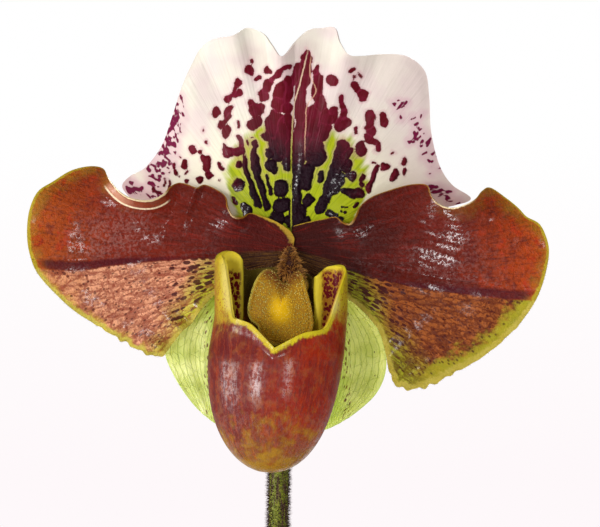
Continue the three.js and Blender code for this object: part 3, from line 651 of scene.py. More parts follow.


# %% [markdown]
# ## The petals' finish
# A petal is painted in coats, first its upper half, then its lower one, then the midvein and the
# yellow rim. Where the notched edge rolls forward, a pale painted highlight runs along its crest.
# All of it hangs on a few numbers stored on each point: how far it is above the midvein, from
# the centre and from the edge, and how far the edge near it curls forward. An image would do it
# too, but would fix its grain, while noise stays crisp from any distance.

# %% Petal material
def petal_finish(name, upper, lower, lower_edge, edge_depth, lower_gloss, painted_sheen):
    """upper: foot, middle, end and streaks. lower: foot, middle, veins and end.

    lower_edge reaches edge_depth millimetres in, lower_gloss is the lower half's share of the
    wet gloss, and the last argument is how much dull pink painted sheen lies on the upper half.
    """
    skin = Finish(name, Coat_Roughness=0.16, Specular_IOR_Level=0.10)
    above, out, rim, ray = skin.values("above", "out", "rim", "ray")
    inset, curl, back = skin.values("inset", "curl", "back")
    place = skin.place()
    grain = skin.noise(place, 1.1, 4.0, 0.62)
    patch = skin.noise(place, 0.36, 3.0, 0.6)
    pebbles = skin.noise(place, 1.5, 3.0, 0.6, 0.6)
    blush = skin.noise(place, 0.13, 2.0)
    streak = skin.noise(skin.vector(ray * 30.0 + patch * 1.6, out * 0.11), 1.0, 4.0, 0.6, 0.5)
    fine_veins = skin.noise(skin.vector(ray * 105.0, out * 0.16), 1.0, 3.0, 0.6, 0.5)

    top = skin.mix(skin.step(out + blush * 22.0, 20.0, 46.0), upper[0], upper[1])
    top = top.coat(skin.step(out + patch * 16.0, 46.0, 66.0), upper[2])
    top = top.coat(skin.step(streak, 0.50, 0.72) * skin.step(out, 58.0, 24.0) * 0.6, upper[3])
    top = top.coat(skin.step(patch, 0.54, 0.66) * skin.step(out, 34.0, 54.0) * 0.7, "aa2c0c")
    top = top.coat(skin.step(patch, 0.46, 0.36) * skin.step(out, 22.0, 44.0) * 0.45, "5e1410")
    top = top.coat(skin.step(fine_veins, 0.50, 0.66) * 0.45, "34080a")
    top = top.coat(skin.step(grain, 0.50, 0.66) * skin.step(out, 14.0, 40.0) * 0.45, "4a1008")
    # Painted sheen: a dull pink patch on the pebbles, in place of a soft light's broad reflection
    pale_patch = skin.step(pebbles, 0.36, 0.68) * skin.step(out, 26.0, 38.0) * skin.step(out, 53.0, 44.0)
    pale_patch = pale_patch * skin.step(above, 1.0, 4.5) * skin.step(above, 15.0, 8.5)
    top = top.coat(pale_patch * painted_sheen, "9c6258")
    warm = skin.step(inset + patch * 9.0, 8.5, 3.0) * skin.step(out, 30.0, 52.0)
    top = top.coat(warm * 0.7, "ac7a1c")

    below = skin.mix(skin.step(out + above * 0.7 + blush * 10.0, 17.0, 28.0), lower[0], lower[1])
    below = below.coat(skin.step(out - above * 0.5 + patch * 16.0, 52.0, 72.0), lower[3])
    below = below.coat(skin.step(streak, 0.48, 0.60) * 0.45, lower[2])
    net = skin.cells(skin.vector(ray * 36.0 + grain * 1.6, out * 0.24 + patch * 1.5), 1.0,
                     "DISTANCE_TO_EDGE")
    below = below.coat(skin.step(net + grain * 0.3, 0.32, 0.12) * 0.85, lower[2])
    below = below.coat(skin.step(grain, 0.46, 0.62) * skin.step(out, 18.0, 30.0) * 0.6, lower[2])
    fringe = skin.step(inset + patch * 8.0 + grain * 3.0, edge_depth + 6.2, edge_depth + 3.4)
    below = below.coat(fringe * skin.step(out, 24.0, 36.0) * 0.75, lower_edge)
    size = 0.50 - skin.step(out, 20.0, 34.0) * 0.44
    spots = skin.cells(skin.vector(ray * 27.0, out * 0.42), 1.0, randomness=0.85)
    spotted = skin.step(spots + grain * 0.2 - 0.10, size, size - 0.06)
    dots = skin.cells(skin.vector(ray * 46.0, out * 0.75), 1.0)
    dotted = skin.step(dots + grain * 0.2, 0.40, 0.30) * skin.step(out, 19.0, 26.0)
    marks = skin.maths("MAXIMUM", spotted, dotted * 0.75)
    below = below.coat(marks * skin.step(inset, 1.0, 2.0) * 0.92, "420a10")

    halves = skin.step(above + grain * 0.5, 0.15, 0.55)
    colour = skin.mix(halves, below, top)
    width = skin.step(out, 14.0, 54.0) * 1.9 + 0.5
    vein = skin.step(above + grain * 0.5 - width, 0.9, -0.5) * skin.step(above, 0.0, 0.5)
    vein = vein * skin.step(out, 16.0, 30.0) * skin.step(inset, 0.8, 3.0)
    colour = colour.coat(vein * 0.80, "4c0c1a")
    edge = skin.step(rim + grain * 1.4, 1.85, 1.25)
    ochre = skin.mix(skin.step(out, 40.0, 54.0), "94621a", "b49c24")
    ochre = ochre.coat(skin.step(out, 11.0, 6.0), "b28e2a")
    edge_colour = skin.mix(halves, skin.mix(patch, "d2c25a", "a8921c"), skin.mix(
        skin.step(curl, 1.6, 2.8), ochre, "f3dcae"))
    colour = colour.coat(edge, edge_colour)
    rolled = skin.step(curl, 2.6, 3.2)
    colour = colour.coat(rolled * skin.step(inset, 1.75, 1.55) * skin.step(inset, 0.25, 0.4),
                         skin.mix(skin.step(out, 34.0, 39.0), "8c3c24", "c08468"))
    # Painted highlight: a pale line along the crest of the forward-rolled edge
    crest = skin.step(inset, 1.45, 1.6) * skin.step(inset, 2.0, 1.8)
    colour = colour.coat(rolled * crest, "f0d8b4")
    # Near the centre: partly the petal's dark foot, partly painted shade behind the pouch's ears
    throat = skin.step(out + grain * 4.0, 16.0, 12.5) * skin.step(above, 1.6, 0.8)
    dark = skin.mix(skin.step(fine_veins, 0.48, 0.58), "2a0c0a", "6a4418")
    colour = colour.coat(throat, dark)
    behind = skin.mix(skin.step(streak, 0.45, 0.65), "a4603c", "7c3a26")
    colour = colour.coat(back * skin.step(rim, 0.9, 1.1) * 0.75, behind)

    wet = skin.step(pebbles + streak * 0.2, 0.56, 0.70) * (1.0 - back)
    wet = wet * (halves * (1.0 - lower_gloss) + lower_gloss)
    skin.bump(pebbles + grain * 0.4, 0.40)
    return skin.finish(Base_Color=colour, Roughness=0.40,
                       Coat_Weight=wet * skin.step(out, 9.0, 18.0) * 0.75 + 0.03)


# %% Make the petals
PETAL_ACROSS = 112
PETAL_ALONG = 280
PETAL_FRILL = 0.17

# How high the dark midveins run, going out from the centre
LEFT_VEIN = smooth_line([(0, -3.5), (16, -4.4), (30, -5.1), (41, -6.2), (48, -7.2), (61, -6.6)])
RIGHT_VEIN = smooth_line([(0, -2.8), (14, -7.2), (27, -10.6), (49, -13.6), (61, -14.2)])


def petal_wrinkle(right, up, u, v):
    """Low ridges along the veins, a faint unevenness and a bend that catches the light."""
    ridges = 0.03 * np.sin(u * 100 + 2 * np.sin(9 * v)) * smooth(v, 0.15, 0.5)
    dents = 0.16 * np.sin(0.31 * right + 1.3 * np.sin(0.2 * up)) * np.sin(0.37 * up + 0.9)
    left_sweep = 0.45 * np.tanh((-right - 49) / 3.2)
    right_sweep = 0.5 * np.tanh((right - 32) / 6)
    sweep = np.where(right < 0, left_sweep, right_sweep)
    edge = smooth(u, 0, 0.1) * smooth(1 - u, 0, 0.1) * smooth(1 - v, 0, 0.1)
    return (ridges + (dents + sweep) * smooth(v, 0.2, 0.5)) * edge


def edge_share(edge, right, up):
    """How far round the margin, from 0 to 1, the point of it nearest to each place lies."""
    line = edge(np.linspace(0, 1, 401))[:, :2]
    places = np.stack([right, up], axis=-1)
    return ((places[:, None] - line[None]) ** 2).sum(-1).argmin(1) / 400


def make_petal(name, foot, margin, corners, depth, drop, vein, rim_width, material):
    surface, edge = stretched_surface(
        foot, margin, corners, petal_depth(depth, drop), PETAL_ACROSS, PETAL_ALONG, PETAL_FRILL)
    piece, right, up, inset = make_tepal(
        name, PETAL_ACROSS, PETAL_ALONG, surface, edge, petal_wrinkle)
    out, share = np.abs(right), edge_share(edge, right, up)
    line = vein(np.linspace(0, 1, 300))
    above = up - np.interp(out, line[:, 0], line[:, 1])
    paint(piece, above=above, out=out, ray=np.arctan2(above, out + 6), inset=inset,
          rim=inset / profile(rim_width)(share), curl=edge(share)[:, 2])
    settle(piece, material, "petal", name)
    return piece


left_skin = petal_finish(
    "left_petal_skin",
    upper=("4c0e08", "7a200c", "a4460e", "8e1c0c"),
    lower=("bcb82c", "e6a07a", "84301e", "c27a38"),
    lower_edge="c09a34", edge_depth=1.6, lower_gloss=0.9, painted_sheen=0.6)
petal_left = make_petal(
    "petal_left", [(-0.4, -6.8), (1.3, -1.6)], LEFT_PETAL_MARGIN[::-1],
    [(-30, -26.8), (-43.4, 17)], LEFT_PETAL_FOOT, LEFT_VEIN_DROP, LEFT_VEIN,
    [(0, 1.0), (0.16, 1.1), (0.28, 1.2), (0.45, 0.9), (0.58, 0.6), (0.66, 0.25),
     (0.93, 0.24), (0.96, 0.7), (1, 1.5)],
    left_skin)

# Mostly darker colours than the left petal's: partly its own, partly painted shade away from the
# light
right_skin = petal_finish(
    "right_petal_skin",
    upper=("3a0a06", "641608", "aa400e", "7c160a"),
    lower=("a0a224", "a85a26", "541408", "864a16"),
    lower_edge="b0ac24", edge_depth=4.4, lower_gloss=0.3, painted_sheen=0.2)
petal_right = make_petal(
    "petal_right", [(1.4, -6.8), (0.9, 1.6)], RIGHT_PETAL_MARGIN[::-1],
    [(29.5, -34.6), (46.2, 12.1)], RIGHT_PETAL_FOOT, RIGHT_VEIN_DROP, RIGHT_VEIN,
    [(0, 0.8), (0.16, 1.4), (0.28, 1.8), (0.4, 1.4), (0.55, 0.7), (0.64, 0.3), (1, 0.22)],
    right_skin)

# %% [markdown]
# ## The dorsal sepal
# The upright sepal is white, with maroon blotches strung along its veins. Noise alone would
# scatter them evenly, but on the real flower they run together down the middle. So they are
# brushed on one by one: each stroke has half its width and the places it passes, as degrees off the
# middle and millimetres from the veins' root. The points store how far they are from the nearest
# stroke, and the material cuts that distance at zero, which keeps a crisp edge on any grid.

# %% Dorsal sepal form
SEPAL_FOOT = -1.6
DORSAL_MARGIN = [
    (-8, 1.2, 0), (-16, 3.4, 0), (-24, 5.4, 0), (-30.7, 7.3, 0), (-34.8, 8.8, 0),
    (-37.4, 10.6, 0), (-38.7, 12.8, 0),
    (-36.8, 15.0, 0), (-33.6, 16.6, 0.5), (-31, 19.4, 0), (-29, 22.6, -0.5), (-26.8, 28.6, 0),
    (-24.4, 35.8, 0.4), (-22.2, 40.7, 0), (-20.1, 44.4, -0.6), (-17.2, 46.4, 0.4),
    (-12.6, 47.2, 1.2), (-9.4, 49.0, -0.6), (-5.6, 47.6, 0.4), (-3.6, 45.0, 1.8),
    (-1.4, 42.3, 2.4), (2.1, 46.2, 0.6), (5, 48.6, -0.4), (8, 49.0, -0.8), (10.8, 49.1, -0.2),
    (12.2, 45.4, 1.4), (14.2, 42.7, 1.8), (17.4, 42.5, 0.8), (21.5, 43.0, -0.4),
    (27.7, 42.5, 0.4), (31.7, 39.3, 0), (32.8, 33.5, -0.4), (33.3, 25.4, 0.4), (34.8, 19, 0),
    (36.3, 15.6, 0.4), (38.6, 12.8, 0), (42.9, 9.8, 0), (36.5, 7.6, 0), (27, 5.4, 0),
    (18, 3.2, 0), (10, 1.0, 0),
]


def dorsal_depth(right, up):
    reflex = 0.0082 * right ** 2 * (1 - 0.68 * np.clip(up / 45, 0, 1))
    crease = 0.9 * np.exp(-np.abs(right - 1.5) / 2.2) * smooth(up, 2, 20)
    return SEPAL_FOOT - reflex - crease + 0.0013 * up ** 2


# %% Strokes on the dorsal sepal
# Dots and streaks from the left side to the right: half the width, then the places passed
STROKES = [
    (0.4, (-58.6, 38), (-58, 36)), (0.35, (-54, 37), (-55, 36.3)), (0.3, (-53, 35.8), (-54.8, 35)),
    (0.35, (-50.5, 37.3)), (0.5, (-48, 36.4), (-49.4, 35.8)), (0.45, (-49.6, 34.8)),
    (0.5, (-47, 38), (-47.5, 37.2)), (0.75, (-43.6, 36.3), (-44.8, 35.8)), (0.5, (-46.2, 34.5)),
    (0.4, (-43.4, 38)), (0.5, (-48.5, 32.6)), (0.95, (-44.4, 30.9)), (1.1, (-40, 30.2)),
    (1.0, (-38.6, 37)), (0.75, (-36.8, 35.8)), (0.5, (-32.4, 36.6)), (0.3, (-31.7, 39.3)),
    (1.1, (-36.8, 33.6), (-38, 32)), (0.45, (-33.3, 30.8), (-33, 28.8)), (0.4, (-37.8, 27.6)),
    (1.55, (-31.4, 24.4)), (1.6, (-35, 18.5)), (0.45, (-37.6, 22.4), (-38, 21)),
    (0.55, (-27, 21.2), (-26, 18.8)), (0.95, (-26, 28.7)), (0.65, (-27.4, 34)),
    (1.15, (-28.4, 32.4), (-26.5, 31.6)), (1.0, (-25, 31.2), (-22.6, 31.2)),
    (0.65, (-21.8, 34.2), (-22.2, 32.6)), (0.35, (-20, 36.2), (-19.8, 37.4)),
    (1.1, (-24, 36.8), (-25.2, 36.2)), (0.7, (-21.8, 39.5), (-23.8, 38.9), (-25.8, 38.1)),
    (1.0, (-25.2, 41.9), (-26, 41.2)), (0.75, (-20.4, 41), (-22.6, 40.3)), (0.8, (-20.6, 43.3)),
    (0.55, (-16.5, 45.6), (-18.3, 44.2), (-20, 43.4)), (1.0, (-15.8, 46.2)),
    (0.8, (-16, 44), (-17.2, 43.7)), (0.9, (-11.7, 48.4), (-12.3, 48.6)), (0.75, (-11, 50.5)),
    (0.7, (-6.6, 47.6), (-7.3, 47.8)), (0.8, (-9.5, 46.1), (-10.5, 46)), (0.8, (-13.8, 41)),
    (1.6, (-12, 39.3), (-12.6, 39.1)), (1.3, (-13.2, 36.2), (-15, 36)), (1.4, (-9.4, 42.2)),
    (0.9, (-8.5, 43.4), (-6.5, 45)), (0.6, (-6, 45.4), (-3.2, 47.3), (-1.2, 48.1)),
    (0.75, (-22.6, 29.2), (-24.2, 25.5), (-25.6, 21.5), (-25.6, 18)), (0.55, (-19, 32.2)),
    (0.85, (-17.6, 30.6), (-18.8, 26), (-20, 20.5), (-20.8, 16.5)), (0.85, (-16.2, 31.6)),
    (0.35, (-16.6, 33)), (0.45, (-14.8, 23.4), (-15.2, 19.2)), (1.2, (-10.6, 32.9)),
    (1.1, (-10.9, 28.7)), (1.45, (-11.4, 25.9)), (0.9, (-9.6, 24.6)), (1.2, (-18, 14), (-12, 13)),
    (1.7, (-10.6, 16), (-8, 16.2)), (1.95, (-8, 20.2)), (1.6, (-7.5, 31), (-7, 28)),
    (2.0, (-7, 36.2), (-6.4, 33)), (2.2, (-5, 34.5), (-5, 29)), (1.4, (-2.2, 36), (-1.8, 27)),
    (1.1, (-4, 27), (-2.5, 25)), (1.7, (-4.8, 39.6)), (1.5, (-4.4, 41.8), (-3.4, 43.2)),
    (1.2, (-1.6, 45), (-2, 41)), (1.5, (-2.4, 38.8)), (0.8, (0.2, 46.5), (-1, 44)),
    (0.9, (1.2, 48), (0.4, 45)), (1.15, (3.6, 50.2)), (0.7, (3.7, 51.4)),
    (1.3, (3.3, 48.5), (2.6, 44), (3, 36), (2.6, 28), (2.4, 20)), (1.1, (2.4, 20), (2, 14)),
    (1.6, (6, 13.2), (2, 12)), (1.3, (-4, 12.5)), (1.2, (8, 15.5)), (1.2, (14, 13)),
    (1.0, (6.4, 47.4)), (1.3, (7, 46), (8, 42.2)), (0.65, (6.8, 48.6), (7, 47.4)),
    (1.5, (8.6, 41), (9.5, 38.5)), (2.3, (7.5, 37.5), (8, 33)), (1.7, (11.5, 38), (12, 36.5)),
    (1.8, (12, 35), (11.5, 33)), (1.5, (6.5, 33), (6.5, 30)), (2.7, (10.5, 28.2), (9.5, 29.5)),
    (1.45, (8.4, 24.6), (9, 21)), (1.5, (11.4, 17.6)), (0.6, (15.6, 24.6), (16.4, 22.8)),
    (1.15, (11.4, 45.9), (11.8, 45.3)), (0.7, (16, 49.2)), (0.4, (18.3, 48.8), (19, 48.6)),
    (0.38, (17.4, 47.9)), (1.1, (17.6, 46.2), (19, 45.4)), (1.35, (20.6, 44.9), (21.4, 44.4)),
    (0.75, (15.4, 42.4), (17.2, 39.6)), (0.9, (17.4, 39.5), (18.2, 37)),
    (0.95, (14, 39.4), (14.6, 37.2)), (1.6, (18.4, 37.2), (17.6, 36.2)),
    (0.4, (23.4, 37.2), (23.9, 36)), (1.4, (20.6, 32.4), (21.6, 30.4)),
    (1.2, (24, 31.4), (23.6, 29.6)), (1.15, (26.4, 28.8), (26.8, 27.2)), (1.15, (30.5, 26.6)),
    (1.5, (22.4, 28.6), (22, 25)), (1.35, (22, 25), (22.4, 21)), (1.1, (22.4, 21), (22, 16.2)),
    (1.0, (26.5, 25), (25, 22)), (0.8, (27, 22), (24, 20)), (1.0, (29.5, 16.6), (33.5, 16.6)),
    (0.95, (31, 22.6), (35, 23.2), (39.4, 24.6)), (1.2, (25.6, 41.2), (27, 38.6)),
    (1.3, (28.6, 37.8)), (0.9, (28.6, 36.2), (31.2, 35.8)), (0.95, (32.6, 36.4), (33.4, 35.4)),
    (1.05, (29.6, 42.4), (30.8, 41.2)), (1.45, (28.3, 33.1), (28.9, 32.6)),
    (0.4, (35.2, 32), (36, 32.1)), (0.65, (35, 28), (36.2, 26.8)), (0.7, (37.4, 26)),
    (0.85, (37.8, 31.2), (39.4, 28.6), (41, 26.6)), (0.4, (36.2, 19.2)), (0.4, (38.4, 19.8)),
    (0.35, (37.2, 18.2)), (0.45, (39.6, 18.6)), (0.6, (41.5, 17), (40, 16.6)),
    (0.6, (41.2, 22), (41.8, 21.2)), (1.0, (40.2, 32.9)), (0.35, (39.4, 36.4)),
    (0.75, (44.6, 33.6), (46, 32)), (0.65, (44.4, 37), (44.8, 36.4)),
    (0.6, (47.2, 35.4), (47.6, 34.6)),
]
VEIN_ROOT = (1.2, -8.0)
print("strokes:", len(STROKES))


# %% Specks, and the distance to a stroke
def specks(seed, count, low, high, spread):
    """Fine streaks strung along a line near the sepal's side, as strokes like those above."""
    random = np.random.default_rng(seed)
    share = random.random(count) ** 0.8
    right = between(low[0], high[0], share) + random.normal(0, spread, count) - VEIN_ROOT[0]
    up = between(low[1], high[1], share) + random.normal(0, 0.9, count) - VEIN_ROOT[1]
    degrees, out = np.degrees(np.arctan2(right, up)), np.hypot(right, up)
    widths = between(0.30, 0.20, share) * random.uniform(0.7, 1.4, count)
    lengths = widths * random.uniform(0, 3.5, count)
    return [(width, (angle, far), (angle, far + length))
            for width, angle, far, length in zip(widths, degrees, out, lengths)]


# Blender's own noise starts from the clock, so it is given a seed to be the same each time
seed_set(7)


def waver(right, up):
    """Small smooth shifts of each place, which make a stroke's outline uneven."""
    fine = [noise_vector(Vector((x, y, 3.0)) * 0.55)[:2] for x, y in zip(right, up)]
    return 0.75 * np.array(fine)


def distance_to_strokes(right, up, strokes):
    """How far outside the nearest stroke each point is, and how much further from the next."""
    here = np.stack([right - VEIN_ROOT[0], up - VEIN_ROOT[1]], axis=-1)
    here += waver(right, up)
    best, second = np.full((2, len(right)), 99.0)
    for width, *stops in strokes:
        near = np.full(len(right), 99.0)
        angles, far = np.radians([stop[0] for stop in stops]), np.array([s[1] for s in stops])
        line = np.stack([far * np.sin(angles), far * np.cos(angles)], axis=-1)
        for start, end in zip(line, line[1:] if len(line) > 1 else line):
            along = end - start
            share = (here - start) @ along / max(along @ along, 1e-9)
            spot = start + np.clip(share, 0, 1)[:, None] * along
            near = np.minimum(near, np.linalg.norm(here - spot, axis=1) - width)
        second = np.minimum(second, np.maximum(best, near))
        best = np.minimum(best, near)
    return best, second - best


# %% [markdown]
# ## The dorsal sepal's finish
# The white skin comes first, then the lime green at the foot, the fine specks at the sides, and
# the blotches, which are maroon above and nearly black on the green. Each is cut from a stored
# distance, with noise added so that no outline is smooth. Two pale lines run up the middle.

# %% Dorsal sepal material
def dorsal_finish():
    skin = Finish("dorsal_sepal_skin", Coat_Roughness=0.10, Specular_IOR_Level=0.08)
    place = skin.place()
    right, _, height = skin.parts(place)
    ray = skin.sheet()[0]
    ragged = skin.noise(place, 0.9, 3.0, 0.6) * 0.9 + skin.noise(place, 2.6, 2.0) * 0.45 - 0.67
    clouds = skin.noise(place, 0.10, 2.0)
    out, side, near, reach, seam, midline, second = skin.values(
        "out", "speck", "blotch", "lime", "seam", "midline", "second")
    veins = skin.noise(skin.vector(ray * 190.0, out * 0.05), 1.0, 2.0)
    colour = skin.mix(skin.step(clouds, 0.40, 0.62), "e3dccd", "decec8")
    # Painted shade: the right side, turned from the light, is a greyer pink
    colour = colour.coat(skin.step(right, 8.0, 34.0) * 0.7, "dccac4")
    colour = colour.coat(skin.step(out, 44.0, 22.0), "e6dfc2")
    colour = colour.coat(skin.step(veins, 0.56, 0.72) * 0.15, "d6c3bd")
    smoke = skin.step(near, 5.0, 0.5) * skin.step(height, 386.0, 396.0)
    colour = colour.coat(smoke * 0.35, "b89a98")
    green = reach + skin.noise(skin.vector(ray * 50.0, out * 0.2), 1.0, 2.0) * 5.0
    green = skin.step(green, 1.4, 4.4)
    colour = colour.coat(green, "aab414")
    colour = colour.coat(green * skin.step(veins, 0.48, 0.60) * 0.8, "86960c")
    colour = colour.coat(skin.step(side, 2.0, 0.0) * 0.38, "c98aa4")
    colour = colour.coat(skin.step(side + ragged * 0.15, 0.08, -0.06), "6c1038")
    distance = near + ragged * 0.62
    halo = skin.step(distance, 0.7, 0.0) * skin.step(height, 358.0, 372.0)
    colour = colour.coat(halo * 0.4, "c98a98")
    blotch = skin.step(distance, 0.08, -0.12)
    shade = skin.step(reach + clouds * 5.0 + ragged * 7.0, -4.0, 13.0)
    deep = skin.mix(shade, "5e0616", "200a16")
    seam = skin.step(seam + ragged * 0.6, 0.55, 0.05) * (1.0 - shade)
    deep = deep.coat(skin.step(skin.noise(place, 0.45, 3.0), 0.44, 0.62) * (1.0 - shade) * 0.55,
                     "700e2a")
    deep = deep.coat(seam * 0.45, "8c2444")
    colour = colour.coat(blotch, deep)
    pale = skin.step(abs(midline + ragged * 0.4), 0.24, 0.08) * skin.step(height, 396.0, 390.0)
    colour = colour.coat(pale * 0.85, skin.mix(skin.step(height, 366.0, 384.0), "b4b430", "e0bfa2"))
    second = skin.step(abs(second + ragged * 0.5), 0.22, 0.04) * skin.step(height, 394.0, 390.0)
    second = second * skin.step(height, 368.0, 374.0)
    colour = colour.coat(second * 0.7, "d8a888")
    wart = skin.step(distance, 0.2, -0.9) * skin.step(height, 374.0, 362.0)
    gloss = skin.noise(place, 1.6, 3.0)
    drops = wart * skin.step(gloss, 0.54, 0.62)
    skin.bump(wart * 1.6 + gloss * wart * 1.2 + veins * 0.30, 0.5)
    return skin.finish(Base_Color=colour, Roughness=0.42 - blotch * 0.08,
                       Coat_Weight=drops * 0.55 + 0.02)


# %% Make the dorsal sepal
def dorsal_wrinkle(right, up, u, v):
    ribs = 0.03 * np.sin(u * 110) * smooth(v, 0.1, 0.4)
    return ribs + 0.25 * np.sin(0.22 * right + 0.8) * np.sin(0.25 * up) * smooth(v, 0.2, 0.6)


surface, edge = fan_surface([(-5, 0.7), (6, 0.7)], DORSAL_MARGIN, dorsal_depth, 4)
dorsal, right, up, _ = make_tepal("dorsal_sepal", 420, 96, surface, edge, dorsal_wrinkle)
SPECKS = [(3, 150, (-31, 12), (-25.5, 33), 1.5), (5, 36, (-36, 12.5), (-27, 10), 1.2),
          (4, 44, (36.5, 11), (26, 32), 1.4), (6, 26, (32, 12), (38, 10), 1.2)]
side_specks = [speck for row in SPECKS for speck in specks(*row)]
print("specks at the sides:", len(side_specks))
MIDLINE = [(0.8, 5), (0.7, 20), (0.9, 26), (1.3, 30.5), (2.8, 36), (4.6, 43.5)]
SECOND_LINE = [(4.0, 22), (4.2, 26), (4.5, 31), (6.6, 34.5), (5.2, 38), (5.4, 43)]


def right_of(points):
    """How far right of a line that runs up the sepal each vertex lies."""
    line = smooth_line(points)(np.linspace(0, 1, 400))
    return right - np.interp(up, line[:, 1], line[:, 0])


out = np.hypot(right - VEIN_ROOT[0], up - VEIN_ROOT[1])
angle = np.degrees(np.arctan2(right - VEIN_ROOT[0], up - VEIN_ROOT[1]))
lime_reach = profile([(-60, 10), (-42, 20), (-34, 28), (-24, 32), (-12, 36), (0, 33), (13, 35),
                      (26, 34), (38, 29), (49, 19), (60, 10)])
crowded = 0.12 * np.exp(-((angle - 1) / 9) ** 2)
blotch, seam = distance_to_strokes(right, up, STROKES)
paint(dorsal, blotch=blotch - crowded, seam=seam,
      speck=distance_to_strokes(right, up, side_specks)[0], midline=right_of(MIDLINE),
      second=right_of(SECOND_LINE), out=out, lime=lime_reach(angle) - out)
settle(dorsal, dorsal_finish(), "dorsal_sepal", "dorsal_sepal")

# %% [markdown]
# ## The synsepal
# Two lower sepals have grown into one pale green one, which hides behind the pouch. A fan's rays
# would crowd at its foot, so it is a stretched grid like the petals. Its veins are darker, and a
# row of dots runs down on each side of the pouch. Light passes into it a little, so its shader
# lets light scatter below the surface.

# %% Synsepal
SYNSEPAL_MARGIN = [
    (9, -5.4, 0), (14, -12.6, 0), (19.3, -18.4, 0.4), (21.9, -22.4, 0), (22.9, -27, 0.5),
    (22.5, -31.6, -0.3), (20.8, -35.3, 0.4), (17.9, -38.4, -0.2), (14.2, -41.3, 0.3),
    (9.7, -43.8, 0), (4, -45.4, 0), (-3, -46.2, 0), (-10, -45.4, 0), (-16.3, -43, 0.2),
    (-20.8, -39.5, -0.2), (-24, -35.5, 0.3), (-26.7, -31, -0.2), (-28.3, -27, 0.3),
    (-28.4, -22, 0), (-25, -15.6, 0), (-18, -10, 0), (-10, -5, 0),
]


def synsepal_depth(right, up):
    return SEPAL_FOOT + 0.25 + 0.17 * np.minimum(up + 5.5, 0) + 0.0022 * (right + 2.5) ** 2


def synsepal_finish():
    skin = Finish("synsepal_skin", Coat_Weight=0.1, Coat_Roughness=0.25,
                  Specular_IOR_Level=0.3, Subsurface_Weight=0.8, Subsurface_Scale=0.003,
                  Subsurface_Radius=(1.0, 1.0, 0.6))
    place = skin.place()
    ray, reach, _ = skin.sheet()
    side, rim = skin.values("side", "rim")
    clouds = skin.noise(place, 0.16, 3.0)
    wander = skin.noise(place, 0.30, 3.0)
    colour = skin.mix(skin.step(clouds, 0.35, 0.65), "dce2a0", "bcc676")
    # Darker on the right and beside the pouch: partly the sepal's own green, partly painted shade
    colour = colour.coat(skin.step(skin.parts(place)[0], 8.0, 15.0) * 0.5, "a4aa58")
    stripe = skin.step(side, 17.5, 14.0)
    colour = colour.coat(stripe * 0.75, "a8bc40")
    veins = skin.step(skin.maths("SINE", ray * 330.0 + wander * 5.0), 0.84, 1.0)
    net = skin.cells(skin.vector(ray * 46.0 + wander * 1.2, reach * 16.0), 1.0, "DISTANCE_TO_EDGE")
    net = skin.step(net, 0.045, 0.0)
    colour = colour.coat(veins * 0.5 + net * 0.2, "809434")
    dots = skin.cells(skin.vector(ray * 100.0, reach * 28.0), 1.0)
    rows = skin.step(side, 17.4, 16.6) * skin.step(side, 14.6, 15.4)
    colour = colour.coat(skin.step(dots, 0.36, 0.24) * rows * 0.9, "5e2a10")
    stray = skin.cells(skin.vector(ray * 46.0, reach * 15.0), 1.0)
    colour = colour.coat(skin.step(stray, 0.09, 0.05) * 0.8, "3a2a1a")
    colour = colour.coat(skin.step(rim, 0.6, 0.2) * 0.6, "8fae3c")
    skin.bump(veins * -0.5 + net * -0.3 + skin.noise(place, 1.4, 3.0) * 0.4, 0.35)
    return skin.finish(Base_Color=colour, Roughness=0.45 + clouds * 0.1)


def synsepal_wrinkle(right, up, u, v):
    ribs = 0.12 * np.sin(u * 95) * smooth(v, 0.1, 0.4)
    return ribs + 0.2 * np.sin(0.3 * up) * smooth(v, 0.3, 0.8)


surface, edge = stretched_surface(
    [(4.5, -0.9), (-4.5, -0.9)], SYNSEPAL_MARGIN, [(14.2, -41.3), (-20.8, -39.5)], synsepal_depth,
    160, 120)
synsepal, right, _, from_edge = make_tepal(
    "synsepal", 160, 120, surface, edge, synsepal_wrinkle)
paint(synsepal, side=np.abs(right + 2.4), rim=from_edge)
settle(synsepal, synsepal_finish(), "synsepal", "synsepal")

# %% [markdown]
# ## The pouch
# The lip is a slipper: a rounded toe below, and two ears that curl inwards above it. It starts as
# half a ball. Each line of longitude is a row of the table, which says where that line runs in
# the toe, where it runs in the ears, and how high its rim is on the left and on the right.

# %% Pouch form
POUCH_HALF_WIDTH = 15.5
POUCH_HALF_DEPTH = 11.4
POUCH_SHOULDER = -17.0
POUCH_TOE = -52.5
POUCH_WALL = 0.9
POUCH_MIDDLE = -2.1
LEFT_EAR_TOP = -2.5
RIGHT_EAR_TOP = -5.5

# Degrees round the toe, ear's side and forward, left rim and right rim
POUCH_ROWS = np.array([
    (0, 0, 25.0, -24.4, -24.4),
    (12, 3.1, 24.6, -21.5, -22.6),
    (23, 5.8, 23.8, -19.1, -21.2),
    (33, 8.6, 22.6, -18.0, -20.6),
    (38, 10.1, 21.7, -17.2, -20.4),
    (45, 11.0, 20.4, -11.0, -19.4),
    (54, 12.0, 18.6, -5.0, -15.6),
    (66, 13.3, 16.2, -3.6, -10.6),
    (84, 14.0, 13.0, -4.8, -6.9),
    (102, 14.0, 10.4, -3.5, -6.0),
    (120, 12.9, 9.2, -2.6, -5.9),
    (132, 10.8, 9.2, -2.9, -6.5),
    (141, 8.7, 10.3, -4.0, -8.2),
    (148, 8.1, 8.6, -6.4, -9.0),
    (157, 6.8, 5.8, -7.0, -8.0),
    (168, 4.4, 4.0, -6.5, -6.8),
    (180, 0, 3.2, -6.2, -6.2),
])
print("rows round the pouch:", len(POUCH_ROWS))


